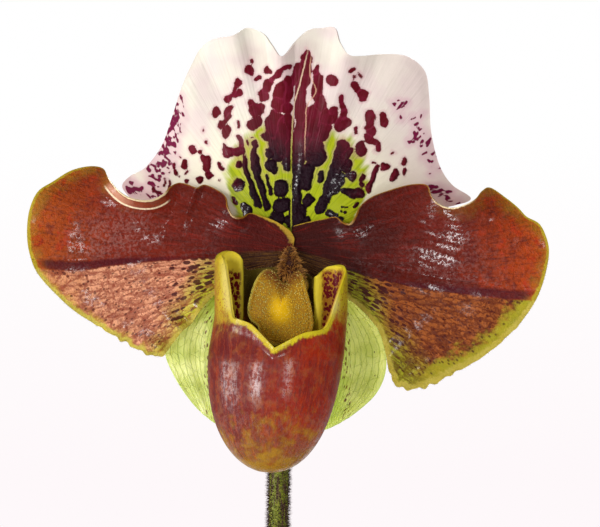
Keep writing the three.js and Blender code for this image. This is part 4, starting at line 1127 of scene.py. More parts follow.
def pouch_lines(share):
    """The table's rows, read smoothly at shares 0 to 1 of the way down it."""
    spot = np.clip(share, 0, 1) * (len(POUCH_ROWS) - 1)
    k = np.minimum(np.floor(spot).astype(int), len(POUCH_ROWS) - 2)
    t = (spot - k)[:, None]
    a, b, c, d = [POUCH_ROWS[np.clip(k + n, 0, len(POUCH_ROWS) - 1)] for n in (-1, 0, 1, 2)]
    bend = 2 * a - 5 * b + 4 * c - d + t * (3 * (b - c) + d - a)
    return (b + 0.5 * t * (c - a + t * bend)).T


def pouch_surface(u, v):
    left = u > 0.5
    degrees, ear_side, ear_forward, left_rim, right_rim = pouch_lines(
        np.where(left, 2 * (1 - u), 2 * u))
    rise = between(1 - np.cos(np.pi / 2 * v), np.sin(np.pi / 2 * v ** 0.9), 0.35)
    up = between(POUCH_TOE, np.where(left, left_rim, right_rim), rise)
    below = np.clip((POUCH_SHOULDER - up) / (POUCH_SHOULDER - POUCH_TOE), 0, 1)
    width = np.sqrt(np.maximum(1 - below ** 2.9, 0))
    angle = np.radians(degrees)
    toe_side = POUCH_HALF_WIDTH * width * np.sin(angle) * np.where(left, 0.95, 1.01)
    toe_forward = 13.7 + 3.9 * np.sin(np.pi / 2 * below) + POUCH_HALF_DEPTH * width * np.cos(angle)
    eared = smooth(up, -28, -17)
    neck = 0.28 * np.maximum(up - np.where(left, LEFT_EAR_TOP, RIGHT_EAR_TOP) + 2.2, 0) ** 2
    lip = 0.9 * smooth(v, 0.9, 1) * (1 - smooth(degrees, 30, 40))
    wider = np.where(left, 1.0, 1 + 0.09 * np.exp(-((degrees - 90) / 35) ** 2))
    side = between(toe_side, np.maximum(ear_side * wider - neck, 0), eared)
    lean = POUCH_MIDDLE - 1.95 * np.sin(1.95 * below)
    return lean + np.where(left, -side, side), up, between(toe_forward, ear_forward, eared) + lip


# %% [markdown]
# ## The pouch's finish
# The pouch is red-brown and glossy outside, golden at the toe and yellow on its ears and rim, and
# its folded ears show dark spots inside. The wall's two faces are told apart by a stored number,
# so one material can finish both. The gloss is a clear coat that noise breaks up.

# %% Pouch material
def pouch_finish():
    skin = Finish("pouch_skin", Coat_Roughness=0.22, Specular_IOR_Level=0.12)
    place = skin.place()
    right, _, height = skin.parts(place)
    rim, inside, round_it = skin.values("rim", "inside", "round")
    grain = skin.noise(place, 1.2, 4.0, 0.6)
    clouds = skin.noise(place, 0.12, 3.0)
    patch = skin.noise(place, 0.40, 4.0, 0.6)
    around = skin.vector(round_it * 62.0 + patch * 2.5, height * 0.14)
    veins = skin.noise(around, 1.0, 4.0, 0.6, 0.8)
    fine = skin.noise(skin.vector(round_it * 190.0 + grain * 1.5, height * 0.30), 1.0, 3.0)
    colour = skin.mix(skin.step(right, -12.0, 13.0), "661a14", "a02606")
    colour = colour.coat(skin.step(clouds, 0.40, 0.60) * 0.45, "58141a")
    colour = colour.coat(skin.step(veins, 0.46, 0.64) * 0.35, "b04818")
    colour = colour.coat(skin.step(patch, 0.50, 0.66) * 0.30, "9c5818")
    colour = colour.coat(skin.step(fine, 0.52, 0.66) * 0.5, "520e0e")
    toe = skin.step(height + clouds * 16.0 + patch * 30.0, 333.0, 320.0)
    colour = colour.coat(toe * 0.70, "a8821c")
    ear = skin.step(height + patch * 10.0 + grain * 5.0, 336.5, 343.0)
    to_right = skin.step(right, -4.0, 4.0)
    flank = skin.step(right, -12.6, -15.6) * skin.step(height, 350.5, 343.0) * 0.85
    colour = colour.coat(ear, skin.mix(flank, skin.mix(patch, "cdb226", "a89a24"), "8a4a1a"))
    dots = skin.cells(skin.vector(round_it * 120.0, height * 1.6), 1.0)
    dots = skin.step(dots, 0.40, 0.26) * skin.step(height, 348.0, 334.0) * ear
    colour = colour.coat(dots * 0.75, "8c2a12")
    band = skin.step(rim + grain * 1.8, 2.3, 1.5) * skin.step(round_it, 0.09, 0.12)
    colour = colour.coat(band, skin.mix(to_right, "bca61c", "d2c01c"))
    pale = skin.step(height, 350.0, 341.0) * skin.step(height, 331.0, 336.0) * ear
    pale = pale * skin.step(round_it, 0.28, 0.32) * skin.step(rim, 4.0, 1.0)
    colour = colour.coat(pale * (to_right * 0.35 + 0.25), "e8e0a8")
    # The back wall deep in the mouth is dark olive-brown: partly its colour, partly painted shade
    behind = skin.step(round_it, 0.120, 0.106)
    colour = colour.coat(behind, "4e3612")
    lining = skin.mix(skin.step(height, 316.0, 330.0), "6a3c0c", "b0761a")
    lining = lining.coat(skin.step(height, 328.0, 340.0), "5c4c14")
    lining = lining.coat(1.0 - behind, "e4cc36")
    plain = round_it - to_right * 0.016
    fold = skin.step(plain, 0.120, 0.130) * skin.step(round_it, 0.36, 0.33)
    core = fold * skin.step(height, 343.8, 342.0) * skin.step(height, 324.0, 328.0)
    spots = skin.cells(skin.vector(round_it * 120.0, height * 1.25), 1.0)
    spots = skin.step(spots + grain * 0.2 - 0.1, 0.64, 0.54) * core
    lining = lining.coat(core * (to_right * 0.45 + 0.30), "9a4418")
    lining = lining.coat(spots * skin.step(rim, 0.4, 0.8), "6a0c14")
    colour = colour.coat(inside, lining)
    crest = skin.step(height, 344.5, 348.5)
    colour = colour.coat(crest * 0.6, "9c860e")
    skin.bump(fine * 0.25 + veins * 0.25 + grain * 0.35 + patch * 0.5, 0.30)
    wet = skin.step(grain + fine * 0.6 + patch * 0.6, 0.98, 1.26) * 0.75 + 0.08
    return skin.finish(Base_Color=colour, Roughness=0.36 + grain * 0.14 + inside * 0.2,
                       Coat_Weight=wet * (1.0 - inside * 0.8) * (1.0 - ear * 0.6))


# %% Make the pouch
def make_pouch():
    piece, u, v = add_bowl("pouch", 320, 130)
    right, up, forward = pouch_surface(u, v)
    write_places(piece, in_flower(right, up, forward))
    edge = in_flower(*pouch_surface(np.linspace(0, 1, 1500, endpoint=False), np.ones(1500)))
    rim = nearest(in_flower(right, up, forward), edge) / MM
    thicken(piece, POUCH_WALL, between(0.75, 1.0, smooth(rim, 0, 2.5)))
    places = read_places(piece)
    half = len(places) // 2
    centre = in_flower(POUCH_MIDDLE, up, 14.0)
    away = np.linalg.norm(places[:half] - centre, axis=1)
    away -= np.linalg.norm(places[half:] - centre, axis=1)
    outer_first = np.median(away) > 0
    inside = np.repeat([0.0, 1.0] if outer_first else [1.0, 0.0], half)
    paint(piece, rim=rim, round=np.abs(u - 0.5), inside=inside)
    settle(piece, pouch_finish(), "pouch", "pouch")
    return piece


pouch = make_pouch()

# %% [markdown]
# ## The staminode
# The golden shield in front of the pouch's mouth is granular, with a smooth bright boss. It
# starts as a bowl too, pressed nearly flat: v runs from the boss out to the notched edge.

# %% Staminode
STAMINODE_OUTLINE = [
    (-0.8, -10.2), (-2.2, -9.0), (-3.2, -7.3), (-4.9, -6.9), (-6.7, -8.6), (-8.1, -12.0),
    (-8.9, -16.0), (-8.3, -18.2), (-6.7, -19.6), (-6.2, -21.6), (-4.6, -23.2), (-2.6, -24.1),
    (0.8, -24.2), (4.0, -22.8), (5.6, -20.0), (5.3, -15.8), (4.3, -12.0), (3.4, -8.8),
    (2.5, -7.3), (1.5, -7.8), (0.7, -9.4),
]
STAMINODE_BOSS = (-1.7, -16.2)
STAMINODE_DEPTH = 13.4
STAMINODE_THICKNESS = 1.3


def staminode_finish():
    skin = Finish("staminode_skin", Specular_IOR_Level=0.12)
    place = skin.place()
    right, _, height = skin.parts(place)
    far, = skin.values("far")
    grains = skin.cells(place, 2.1)
    glitter = skin.noise(place, 3.6, 2.0)
    colour = skin.mix(skin.step(far + glitter * 0.3, 0.20, 0.65), "f0bc04", "d8a624")
    pits = skin.step(grains, 0.40, 0.60) * skin.step(far, 0.15, 0.5)
    colour = colour.coat(pits * 0.7, "8c5a0c")
    upper = skin.step(height, 328.0, 336.0) * skin.step(far, 0.25, 0.55)
    crumbs = skin.step(grains, 0.36, 0.18) * skin.step(glitter, 0.32, 0.46)
    colour = colour.coat(crumbs * (upper * 0.6 + 0.4), "f8e48c")
    notch = skin.step(height + glitter * 3.0 - abs(right - 1.0) * 0.9, 337.0, 341.5)
    colour = colour.coat(notch * skin.step(grains, 0.15, 0.40) * 0.85, "5a2010")
    lower_left = skin.step(right + (height - 334.0) * 0.3, 1.0, -5.0)
    rim = skin.step(far, 0.955, 0.985)
    colour = colour.coat(rim * (lower_left * 0.75 + 0.15), "dccc58")
    skin.bump(skin.step(grains, 0.5, 0.1) * skin.step(far, 0.1, 0.5), 0.35)
    return skin.finish(Base_Color=colour, Roughness=0.45 + glitter * 0.15)


def make_staminode():
    edge = smooth_line(STAMINODE_OUTLINE[::-1], closed=True)
    piece, u, v = add_bowl("staminode", 220, 60)
    end = edge(u)
    right = between(STAMINODE_BOSS[0], end[:, 0], v)
    up = between(STAMINODE_BOSS[1], end[:, 1], v)
    boss = 1.1 * np.exp(-(v / 0.3) ** 2)
    curve = 0.9 * v ** 2 + 0.06 * (up - STAMINODE_BOSS[1])
    lip = 0.35 * np.exp(-((v - 0.97) / 0.04) ** 2)
    write_places(piece, in_flower(right, up, STAMINODE_DEPTH + boss - curve + lip))
    thicken(piece, STAMINODE_THICKNESS, between(0.5, 1.0, smooth(v, 1.0, 0.85)))
    paint(piece, far=v)
    settle(piece, staminode_finish(), "staminode", "staminode")


make_staminode()

# %% [markdown]
# ## Stems
# A stem is a grid rolled round a line: u goes round it and v along it. Blender's curves with a
# bevel give the same tube, but a rolled grid can have ribs and swellings. The seam is merged,
# and the two ends are filled.

# %% Rolled tubes
def frames_along(line):
    """Two directions square to a line at each of its points, that twist as little as they can."""
    ahead = np.gradient(line, axis=0)
    ahead /= np.linalg.norm(ahead, axis=1)[:, None]
    side = np.cross(ahead[0], (0.0, 1.0, 0.3))
    sides = []
    for direction in ahead:
        side = side - direction * (side @ direction)
        side = side / np.linalg.norm(side)
        sides.append(side)
    sides = np.array(sides)
    return sides, np.cross(ahead, sides)


def add_tube(name, points, radius, sides, steps):
    """A closed tube along points in millimetres. radius takes shares along and round it."""
    line = smooth_line(points)(np.linspace(0, 1, steps + 1))
    across, over = frames_along(line)
    piece, u, v = add_grid(name, sides, steps)
    k = np.round(v * steps).astype(int)
    reach = radius(v, u)[:, None]
    angle = (2 * np.pi * u)[:, None]
    places = line[k] + reach * (np.cos(angle) * across[k] + np.sin(angle) * over[k])
    write_places(piece, places * MM)
    close_up(piece)
    return piece


def close_up(piece):
    """Merges a seam, fills open ends and turns all faces outwards."""
    select_only(piece)
    bpy.ops.object.mode_set(mode="EDIT")
    bpy.ops.mesh.select_all(action="SELECT")
    bpy.ops.mesh.remove_doubles(threshold=1e-6)
    bpy.ops.mesh.select_all(action="SELECT")
    bpy.ops.mesh.fill_holes(sides=0)
    bpy.ops.mesh.select_all(action="SELECT")
    bpy.ops.mesh.normals_make_consistent(inside=False)
    bpy.ops.object.mode_set(mode="OBJECT")


# %% [markdown]
# ## Hairs
# Slipper orchids are hairy: the scape and ovary all over, the column, and the petals' lower
# edges. Blender has hair curves, but an exported model drops them, so each hair is a three-sided
# spike. One spike is modelled, and its copies are set on random points of the piece that carries
# them, along the surface's own direction with a little disorder.

# %% Copies
def take_apart(piece):
    """The corners and faces of a piece that is only modelled to be copied."""
    corners = read_places(piece)
    faces = [tuple(face.vertices) for face in piece.data.polygons]
    bpy.data.objects.remove(piece)
    return corners, faces


def add_copies(name, corners, faces):
    """One mesh of many copies, from their corners in metres."""
    mesh = bpy.data.meshes.new(name)
    mesh.from_pydata(corners.tolist(), [], faces)
    piece = bpy.data.objects.new(name, mesh)
    bpy.context.scene.collection.objects.link(piece)
    return piece


def triangle_corners(mesh):
    """Which three vertices each triangle of a mesh has."""
    mesh.calc_loop_triangles()
    corners = np.empty(len(mesh.loop_triangles) * 3, int)
    mesh.loop_triangles.foreach_get("vertices", corners)
    return corners.reshape(-1, 3)


# %% One spike
deselect()
bpy.ops.mesh.primitive_cone_add(vertices=3, radius1=1, radius2=0, depth=1)
SPIKE_CORNERS, SPIKE_FACES = take_apart(bpy.context.object)
SPIKE_CORNERS += (0, 0, 0.5)
print("a spike has", len(SPIKE_FACES), "faces")


# %% Grow hairs
def scatter(carrier, count, random, where):
    """Random points on a mesh and the directions its surface faces there."""
    triangles = read_places(carrier)[triangle_corners(carrier.data)]
    normals = np.cross(triangles[:, 1] - triangles[:, 0], triangles[:, 2] - triangles[:, 0])
    area = np.linalg.norm(normals, axis=1)
    normals /= np.maximum(area, 1e-18)[:, None]
    weight = area * where(triangles.mean(1) / MM, normals)
    picked = random.choice(len(area), count, p=weight / weight.sum())
    share = random.dirichlet((1, 1, 1), count)
    return (triangles[picked] * share[:, :, None]).sum(1), normals[picked]


def plant_spikes(name, places, directions, lengths, width, random):
    """One mesh of spikes, each from its place along its direction. Sizes are in millimetres."""
    count = len(places)
    directions = directions / np.linalg.norm(directions, axis=1)[:, None]
    side = np.cross(directions, random.normal(size=(count, 3)))
    side /= np.linalg.norm(side, axis=1)[:, None]
    over = np.cross(directions, side)
    x, y, z = [SPIKE_CORNERS[None, :, axis, None] for axis in range(3)]
    spread = x * side[:, None] + y * over[:, None]
    lift = z * directions[:, None] * lengths[:, None, None]
    corners = places[:, None] + (spread * width + lift) * MM
    faces = [tuple(corner + k * len(SPIKE_CORNERS) for corner in face)
             for k in range(count) for face in SPIKE_FACES]
    piece = add_copies(name, corners.reshape(-1, 3), faces)
    paint(piece, tip=SPIKE_CORNERS[:, 2])
    return piece


def grow_hairs(name, carrier, count, length, width, seed, where=None, lean=0.35):
    """Hairs all over a piece, or where a weight says, each leaning a little its own way."""
    random = np.random.default_rng(seed)
    where = where or (lambda places, normals: 1.0)
    places, normals = scatter(carrier, count, random, where)
    directions = normals + random.normal(0, lean, (count, 3))
    lengths = length * random.uniform(0.6, 1.15, count)
    return plant_spikes(name, places - normals * 0.05 * MM, directions, lengths, width, random)


def hair_finish(name, root, tip):
    skin = Finish(name, Roughness=0.45)
    along, = skin.values("tip")
    return skin.finish(Base_Color=skin.mix(skin.step(along, 0.1, 0.9), root, tip))


# %% [markdown]
# ## Scape, ovary and bract
# The scape is green, mottled with purple and densely hairy. The ovary bends forward from its top
# to the flower, with six ribs, and a short green bract clasps its foot.

# %% Stem material
def stem_finish(name, base, mottle, share):
    skin = Finish(name, Coat_Weight=0.05, Specular_IOR_Level=0.25)
    place = skin.place()
    right, depth, height = skin.parts(place)
    long_grain = skin.noise(skin.vector(right * 1.3, depth * 1.3, height * 0.25), 1.0, 4.0, 0.65)
    fine = skin.noise(place, 2.2, 3.0)
    colour = skin.mix(skin.step(fine, 0.40, 0.70), base, "8a8a24")
    colour = colour.coat(skin.step(long_grain, 0.56 - share, 0.66 - share) * 0.85, mottle)
    skin.bump(long_grain * 0.6 + fine * 0.5, 0.25)
    return skin.finish(Base_Color=colour, Roughness=0.55)


SCAPE_RADIUS = 2.4
SCAPE_TOP = 308.0
CROWN_TOP = 91.5
GAP = 0.3
OVARY_RADIUS = 3.6
OVARY_TIP = -2.5

SCAPE_LINE = [
    (0, 0, CROWN_TOP + GAP), (-0.6, 0, 120), (-1.6, 0.6, 165), (-1, 1.6, 235),
    (0, 0.5, SCAPE_TOP),
]
OVARY_LINE = [
    (0, 0.5, SCAPE_TOP + GAP), (0.1, 0, 318), (0.9, -5.5, 333), (1.6, -13, 344),
    (2, -20, 349.6), (2, FLOWER[1] - OVARY_TIP, 349.8),
]


# %% Make the scape and ovary
def scape_radius(v, u):
    return SCAPE_RADIUS * (1.02 - 0.05 * v + 0.012 * np.sin(70 * v) + 0.012 * np.sin(6.28 * 5 * u))


def ovary_radius(v, u):
    swell = profile([(0, 2.5), (0.25, OVARY_RADIUS), (0.75, OVARY_RADIUS), (1, 4.4)])(v)
    return swell * (1 + 0.06 * np.cos(6 * 2 * np.pi * u))


scape = add_tube("scape", SCAPE_LINE, scape_radius, 36, 220)
settle(scape, stem_finish("scape_skin", "6c7618", "4e2a2a", 0.08), "stem", "scape")
ovary = add_tube("ovary", OVARY_LINE, ovary_radius, 72, 70)
settle(ovary, stem_finish("ovary_skin", "5a7620", "4a2428", -0.02), "stem", "ovary")

purple_hair = hair_finish("purple_hair", "220a12", "563432")
scape_hairs = grow_hairs(
    "scape_hairs", scape, count=40000, length=1.15, width=0.06, seed=11)
settle(scape_hairs, purple_hair, "stem")
ovary_hairs = grow_hairs(
    "ovary_hairs", ovary, count=8000, length=0.9, width=0.05, seed=12)
settle(ovary_hairs, purple_hair, "stem")


# %% Make the bract
def make_bract():
    piece, u, v = add_grid("bract", 60, 70)
    length = 32.0
    curl = between(1.9, 0.7, smooth(v, 0.1, 1))
    radius = between(3.5, 5.2, v) + 2.6 * v ** 2
    tip = np.clip((v - 0.3) / 0.7, 0, 1)
    place = (2 * u - 1) * curl * np.maximum(np.sqrt(1 - tip ** 1.6), 0.12)
    forward = radius * np.cos(place) + 5 * v ** 2
    right = radius * np.sin(place)
    foot = (0, 0.4, SCAPE_TOP - 6)
    places = np.stack([foot[0] - right, foot[1] - forward, foot[2] + v * length], axis=-1)
    write_places(piece, places * MM)
    thicken(piece, 0.6, between(0.5, 1.0, smooth(1 - np.abs(2 * u - 1), 0, 0.3)))
    skin = Finish("bract_skin", Coat_Weight=0.1, Coat_Roughness=0.3)
    ray, reach, _ = skin.sheet()
    veins = skin.noise(skin.vector(ray * 26.0, reach * 1.5), 1.0, 3.0)
    colour = skin.mix(skin.step(veins, 0.40, 0.62), "a3b552", "7d9438")
    colour = colour.coat(skin.step(veins + reach * 0.1, 0.62, 0.7) * 0.6, "6a3a38")
    skin.bump(veins, 0.3)
    settle(piece, skin.finish(Base_Color=colour, Roughness=0.5), "bract", "bract")
    return piece


bract = make_bract()
bract_hairs = grow_hairs(
    "bract_hairs", bract, count=900, length=0.6, width=0.04, seed=13)
settle(bract_hairs, purple_hair, "bract")

# %% [markdown]
# ## Hairs on the flower
# The petals' lower edges carry short dark hairs, and the pouch's ears pale ones. They come from
# the same copied spike, set only where a stored number says that the rim is near.

# %% Fringe the petals and the ears
def near_rim(piece, name, reach, low, high):
    """A weight for hairs: 1 where the piece's stored number is small and the height fits."""
    numbers = np.empty(len(piece.data.vertices))
    piece.data.attributes[name].data.foreach_get("value", numbers)
    close = numbers[triangle_corners(piece.data)].mean(1) < reach
    return lambda places, normals: close * (places[:, 2] > low) * (places[:, 2] < high)


for petal in (petal_left, petal_right):
    fringe = grow_hairs(
        f"{petal.name}_hairs", petal, count=900, length=0.45, width=0.03, seed=17,
        where=near_rim(petal, "inset", 0.5, 310, 346))
    settle(fringe, purple_hair, "petal")
ear_hairs = grow_hairs(
    "ear_hairs", pouch, count=1500, length=0.5, width=0.03, seed=18,
    where=near_rim(pouch, "rim", 9.0, 331, 348), lean=0.3)
settle(ear_hairs, hair_finish("pale_hair", "8a6a2a", "c8b878"), "pouch")

# %% [markdown]
# ## Column and anthers
# The column is a short hairy stalk that carries the shield. Under it hang the shiny stigma and
# two anthers with their sticky pollen.

# %% Column
COLUMN_FOOT = 2.2


def to_frame(rows):
    """Points given right, up and forward in the flower, as points in the frame's millimetres."""
    right, up, forward = np.array(rows, float).T
    return in_flower(right, up, forward) / MM


def column_finish():
    skin = Finish("column_skin", Coat_Weight=0.05)
    place = skin.place()
    grain = skin.noise(place, 2.4, 3.0)
    colour = skin.mix(skin.step(grain, 0.4, 0.65), "4a1e10", "240c0a")
    height = skin.parts(place)[2]
    colour = colour.coat(skin.step(height, 341.5, 338.0), "a9a94a")
    skin.bump(grain, 0.3)
    return skin.finish(Base_Color=colour, Roughness=0.55)


column_line = to_frame([
    (0.6, -2.5, COLUMN_FOOT), (0.6, -2.5, 4), (0.6, -4.8, 7), (0.6, -8.9, 10.6)])
column = add_tube("column", column_line, lambda v, u: between(0.7, 2.5, v ** 1.2), 40, 24)
stigma_line = to_frame([(0.6, -5.5, 7.4), (0.6, -9, 7.6), (0.6, -13.4, 8.2)])
stigma_swell = profile([(0, 1.2), (0.6, 1.2), (0.8, 2.9), (1, 2.6)])
stigma = add_tube("stigma", stigma_line, lambda v, u: stigma_swell(v), 32, 24)


def join(first, second):
    select_only(first)
    second.select_set(True)
    bpy.ops.object.join()


def fuse(piece, voxel):
    """Makes one closed skin of pieces that run into each other."""
    apply_modifier(piece, "REMESH", mode="VOXEL", voxel_size=voxel * MM)


join(column, stigma)
fuse(column, 0.22)
settle(column, column_finish(), "column", "column")


def on_column(places, normals):
    up = places[:, 2] - FLOWER[2]
    forward = FLOWER[1] - places[:, 1]
    return (up > -11.5) * (normals[:, 1] < 0.6) * (up + forward * 0.4 > -5.5)


def grow_tuft():
    """Hairs that stand up at the column's foot and spread wide and down over the shield."""
    random = np.random.default_rng(21)
    places, normals = scatter(column, 1100, random, on_column)
    down = smooth(FLOWER[2] - places[:, 2] / MM, 0.0, 6.0)
    droop = np.stack([0 * down, -0.3 - 0.2 * down, -0.45 - 0.35 * down], axis=-1)
    directions = normals * 0.8 + droop + random.normal(0, 0.4, (len(places), 3))
    lengths = between(0.35, 2.4, down) * random.uniform(0.5, 1.1, len(places))
    roots = places - normals * 0.05 * MM
    return plant_spikes("column_hairs", roots, directions, lengths, 0.11, random)


column_hairs = grow_tuft()
settle(column_hairs, hair_finish("brown_hair", "541e0c", "e2a04a"), "column")


# %% Anthers
def make_anther(name, side):
    deselect()
    centre = in_flower(np.array(0.6 + side * 3.2), np.array(-10.5), np.array(7.3))
    bpy.ops.mesh.primitive_uv_sphere_add(segments=28, ring_count=18, radius=1)
    piece = name_new(name)
    x, y, z = read_places(piece).T
    groove = 1 - 0.16 * np.exp(-(x / 0.25) ** 2) * (y < 0)
    tilt = -0.5
    y, z = y * 1.1 * groove, z * 1.7
    turned = np.stack([x * 1.1, y * math.cos(tilt) - z * math.sin(tilt),
                       y * math.sin(tilt) + z * math.cos(tilt)], axis=-1)
    write_places(piece, centre + turned * MM)
    return piece


pollen = Finish("pollen_skin", Coat_Weight=0.3)
pollen_grain = pollen.noise(pollen.place(), 2.0, 3.0)
pollen_colour = pollen.mix(pollen_grain, "c9a02a", "9a6a1c")
pollen.bump(pollen_grain, 0.2)
pollen_skin = pollen.finish(Base_Color=pollen_colour, Roughness=0.35)
for name, side in (("anther_left", -1), ("anther_right", 1)):
    settle(make_anther(name, side), pollen_skin, "anther", name)

# %% [markdown]
# ## Leaves
# A leaf clasps the plant's stem with its folded foot, then opens to a keeled strap that arches
# over. Each leaf is a grid again: its midline is walked step by step with a growing bend, and its
# cross-section is an arc that opens on the way.

# %% Leaf form
FAN_TURN = math.radians(10)
LEAF_HALF_WIDTH = 19.0
SHEATH_RADIUS = 3.4
SHEATH_STEP = 2.0
SHEATH_CURL = 1.7
BLADE_CURL = 0.42
OPENING = 0.22


def leaf_places(u, v, centre, turn, side, sheath, peel, length, half_width, lean):
    """A leaf's places. Its sheath ends at peel, and it opens over a share of its length."""
    def bend(run):
        return lean * smooth(run, peel, length * 1.25)

    steps = 60
    middles = bend((np.arange(steps) + 0.5) * length / steps)
    out = sheath + np.concatenate([[0], np.cumsum(np.sin(middles))]) * length / steps
    up = np.concatenate([[0], np.cumsum(np.cos(middles))]) * length / steps
    along = np.linspace(0, 1, steps + 1)
    run = v * length
    opened = smooth(run, peel - 10, peel + 0.7 * OPENING * length)
    foot_curl = min(SHEATH_CURL, half_width / sheath)
    curl = between(foot_curl, BLADE_CURL, opened)
    blade = smooth(run, peel + 0.3 * OPENING * length, length * 0.55)
    blade = between(sheath * foot_curl, half_width, blade)
    tip = np.clip((v - 0.55) / 0.45, 0, 1)
    half = np.maximum(blade * np.sqrt(1 - tip ** 2.6), 1.4)
    radius = half / curl
    place = 2 * u - 1
    sideways = radius * np.sin(curl * place)
    keel = 1.6 * opened * np.abs(place) * (half / half_width)
    lift = radius * (1 - np.cos(curl * place)) + keel
    angle = np.interp(v, along, bend(along * length))
    outward = np.interp(v, along, out) - lift * np.cos(angle)
    x = centre[0] + side * (math.cos(turn) * outward - math.sin(turn) * sideways)
    y = centre[1] + side * (math.sin(turn) * outward + math.cos(turn) * sideways)
    z = centre[2] + np.interp(v, along, up) + lift * np.sin(angle)
    return np.stack([x, y, z], axis=-1)


# %% [markdown]
# ## The leaves' finish
# The leaves are dark green with faint lighter blocks, a dark groove along the middle and a purple
# flush at the foot. All of it follows the grid, so it is read from the leaf's own UV map.

# %% Leaf material
def leaf_finish():
    skin = Finish("leaf_skin", Coat_Weight=0.25, Coat_Roughness=0.22, Specular_IOR_Level=0.45)
    place = skin.place()
    across, along, _ = skin.sheet()
    clouds = skin.noise(place, 0.06, 3.0, 0.6)
    veins = skin.noise(skin.vector(across * 60.0, along * 1.2), 1.0, 3.0, 0.6)
    colour = skin.mix(skin.step(clouds, 0.35, 0.65), "41702a", "2f5a22")
    colour = colour.coat(skin.step(veins, 0.45, 0.70) * 0.45, "56863a")
    blocks = skin.cells(skin.vector(across * 12.0, along * 26.0), 1.0)
    colour = colour.coat(skin.step(blocks, 0.30, 0.62) * 0.16, "6c9848")
    keel = abs(across - 0.5)
    groove = skin.step(keel, 0.022, 0.004)
    colour = colour.coat(groove * 0.55, "1f4218")
    colour = colour.coat(skin.step(keel, 0.485, 0.499) * 0.6, "8aa659")
    foot = skin.step(along + veins * 0.1, 0.20, 0.04)
    colour = colour.coat(foot * 0.7, "9aa85c")
    flush = skin.step(skin.noise(place, 0.5, 3.0), 0.5, 0.62) * foot
    colour = colour.coat(flush * 0.75, "5a2436")
    skin.bump(veins * 0.6 + skin.noise(place, 0.9, 3.0) * 0.5 - groove * 0.8, 0.35)
    return skin.finish(Base_Color=colour, Roughness=0.36 + clouds * 0.12)


leaf_skin = leaf_finish()


# %% Make the leaves
def make_leaf(name, thickness, columns, rows, **form):
    piece, u, v = add_grid(name, columns, rows)
    places = leaf_places(u, v, **form)
    ripple = 0.35 * np.sin(9 * v + form["length"]) * (2 * u - 1) ** 2 * smooth(v, 0.25, 0.6)
    places[:, 2] += ripple
    write_places(piece, places * MM)
    thicken(piece, thickness, between(0.5, 1.0, smooth(1 - np.abs(2 * u - 1), 0, 0.35)))
    settle(piece, leaf_skin, "leaf", name)


FAN_LEAVES = [(150, 34, 62), (172, 29, 84), (188, 24, 98), (192, 19, 112), (180, 14, 128),
              (164, 9, 140)]
for i, (length, peel, lean) in enumerate(FAN_LEAVES):
    make_leaf(
        f"leaf_{len(FAN_LEAVES) - i}", 0.8, 48, 120, centre=(0, 0, CROWN_TOP + GAP),
        turn=FAN_TURN, side=-1 if i % 2 else 1, sheath=SHEATH_RADIUS + SHEATH_STEP * i,
        peel=peel, length=length, half_width=LEAF_HALF_WIDTH, lean=math.radians(lean))

YOUNG_CROWN = (19.0, -32.0)
YOUNG_TURN = FAN_TURN - 0.35
YOUNG_HALF_WIDTH = 9.5
YOUNG_SHEATH = 1.6
YOUNG_LEAVES = [(76, 24, 30), (104, 17, 62), (96, 11, 82), (62, 7, 92)]
for i, (length, peel, lean) in enumerate(YOUNG_LEAVES):
    make_leaf(
        f"young_leaf_{len(YOUNG_LEAVES) - i}", 0.6, 36, 80,
        centre=(*YOUNG_CROWN, CROWN_TOP + GAP), turn=YOUNG_TURN, side=-1 if i % 2 else 1,
        sheath=YOUNG_SHEATH * (i + 1), peel=peel, length=length, half_width=YOUNG_HALF_WIDTH,
        lean=math.radians(lean))

# %% [markdown]
# ## Crown and roots
# Under the leaves sits the plant's short stem, brown with old sheaths, and hairy roots run over
# the bark and dip into it. The parts are tubes that run into each other, and a voxel remesh makes
# one skin of them, as they have on the plant.

# %% Crown
CROWN_RADIUS = 15.0
YOUNG_CROWN_RADIUS = 8.0
ROOT_RADIUS = 2.2


def add_stub(name, centre, radius, foot):
    x, y = centre
    line = [(x, y, foot), (x, y, (foot + CROWN_TOP) / 2), (x, y, CROWN_TOP)]
    swell = profile([(0, 0.62), (0.75, 1), (1, 1)])
    return add_tube(name, line, lambda v, u: radius * 0.99 * swell(v), 48, 20)


crown = add_stub("crown", (0, 0), CROWN_RADIUS, 66)
join(crown, add_stub("young_stub", YOUNG_CROWN, YOUNG_CROWN_RADIUS, 76))
link_line = [(4, -7, 82), (12, -20, 83), (19, -32, 82)]
join(crown, add_tube("link", link_line, lambda v, u: 6.0 + 0 * u, 32, 20))
ROOTS = [(35, 30), (105, 33), (165, 27), (232, 31)]
for degrees, length in ROOTS:
    angle = math.radians(degrees)
    path = [(9, 84), (17, 87.5), (length - 5, 89), (length + 3, 84), (length + 6, 72)]
    line = [(r * math.cos(angle), r * math.sin(angle), z) for r, z in path]
    root = add_tube(f"root_{degrees}", line,
                    lambda v, u: ROOT_RADIUS * (0.96 + 0.04 * np.sin(31 * v)), 24, 60)
    join(crown, root)
fuse(crown, 0.7)


def crown_finish():
    skin = Finish("crown_skin", Specular_IOR_Level=0.3)
    place = skin.place()
    fibre = skin.noise(place, 0.5, 5.0, 0.7)
    fine = skin.noise(place, 2.0, 3.0)
    colour = skin.mix(skin.step(fibre, 0.35, 0.65), "7d6142", "57402a")
    colour = colour.coat(skin.step(fine, 0.55, 0.72) * 0.6, "a58a63")
    skin.bump(fibre + fine * 0.6, 0.6)
    return skin.finish(Base_Color=colour, Roughness=0.8)


settle(crown, crown_finish(), "root", "crown")


def on_roots(places, normals):
    """1 on the roots outside the crown and above the bark's bed."""
    x, y, height = places.T
    return (height > 82) * (height < 91.4) * (np.hypot(x, y) > 15.5)


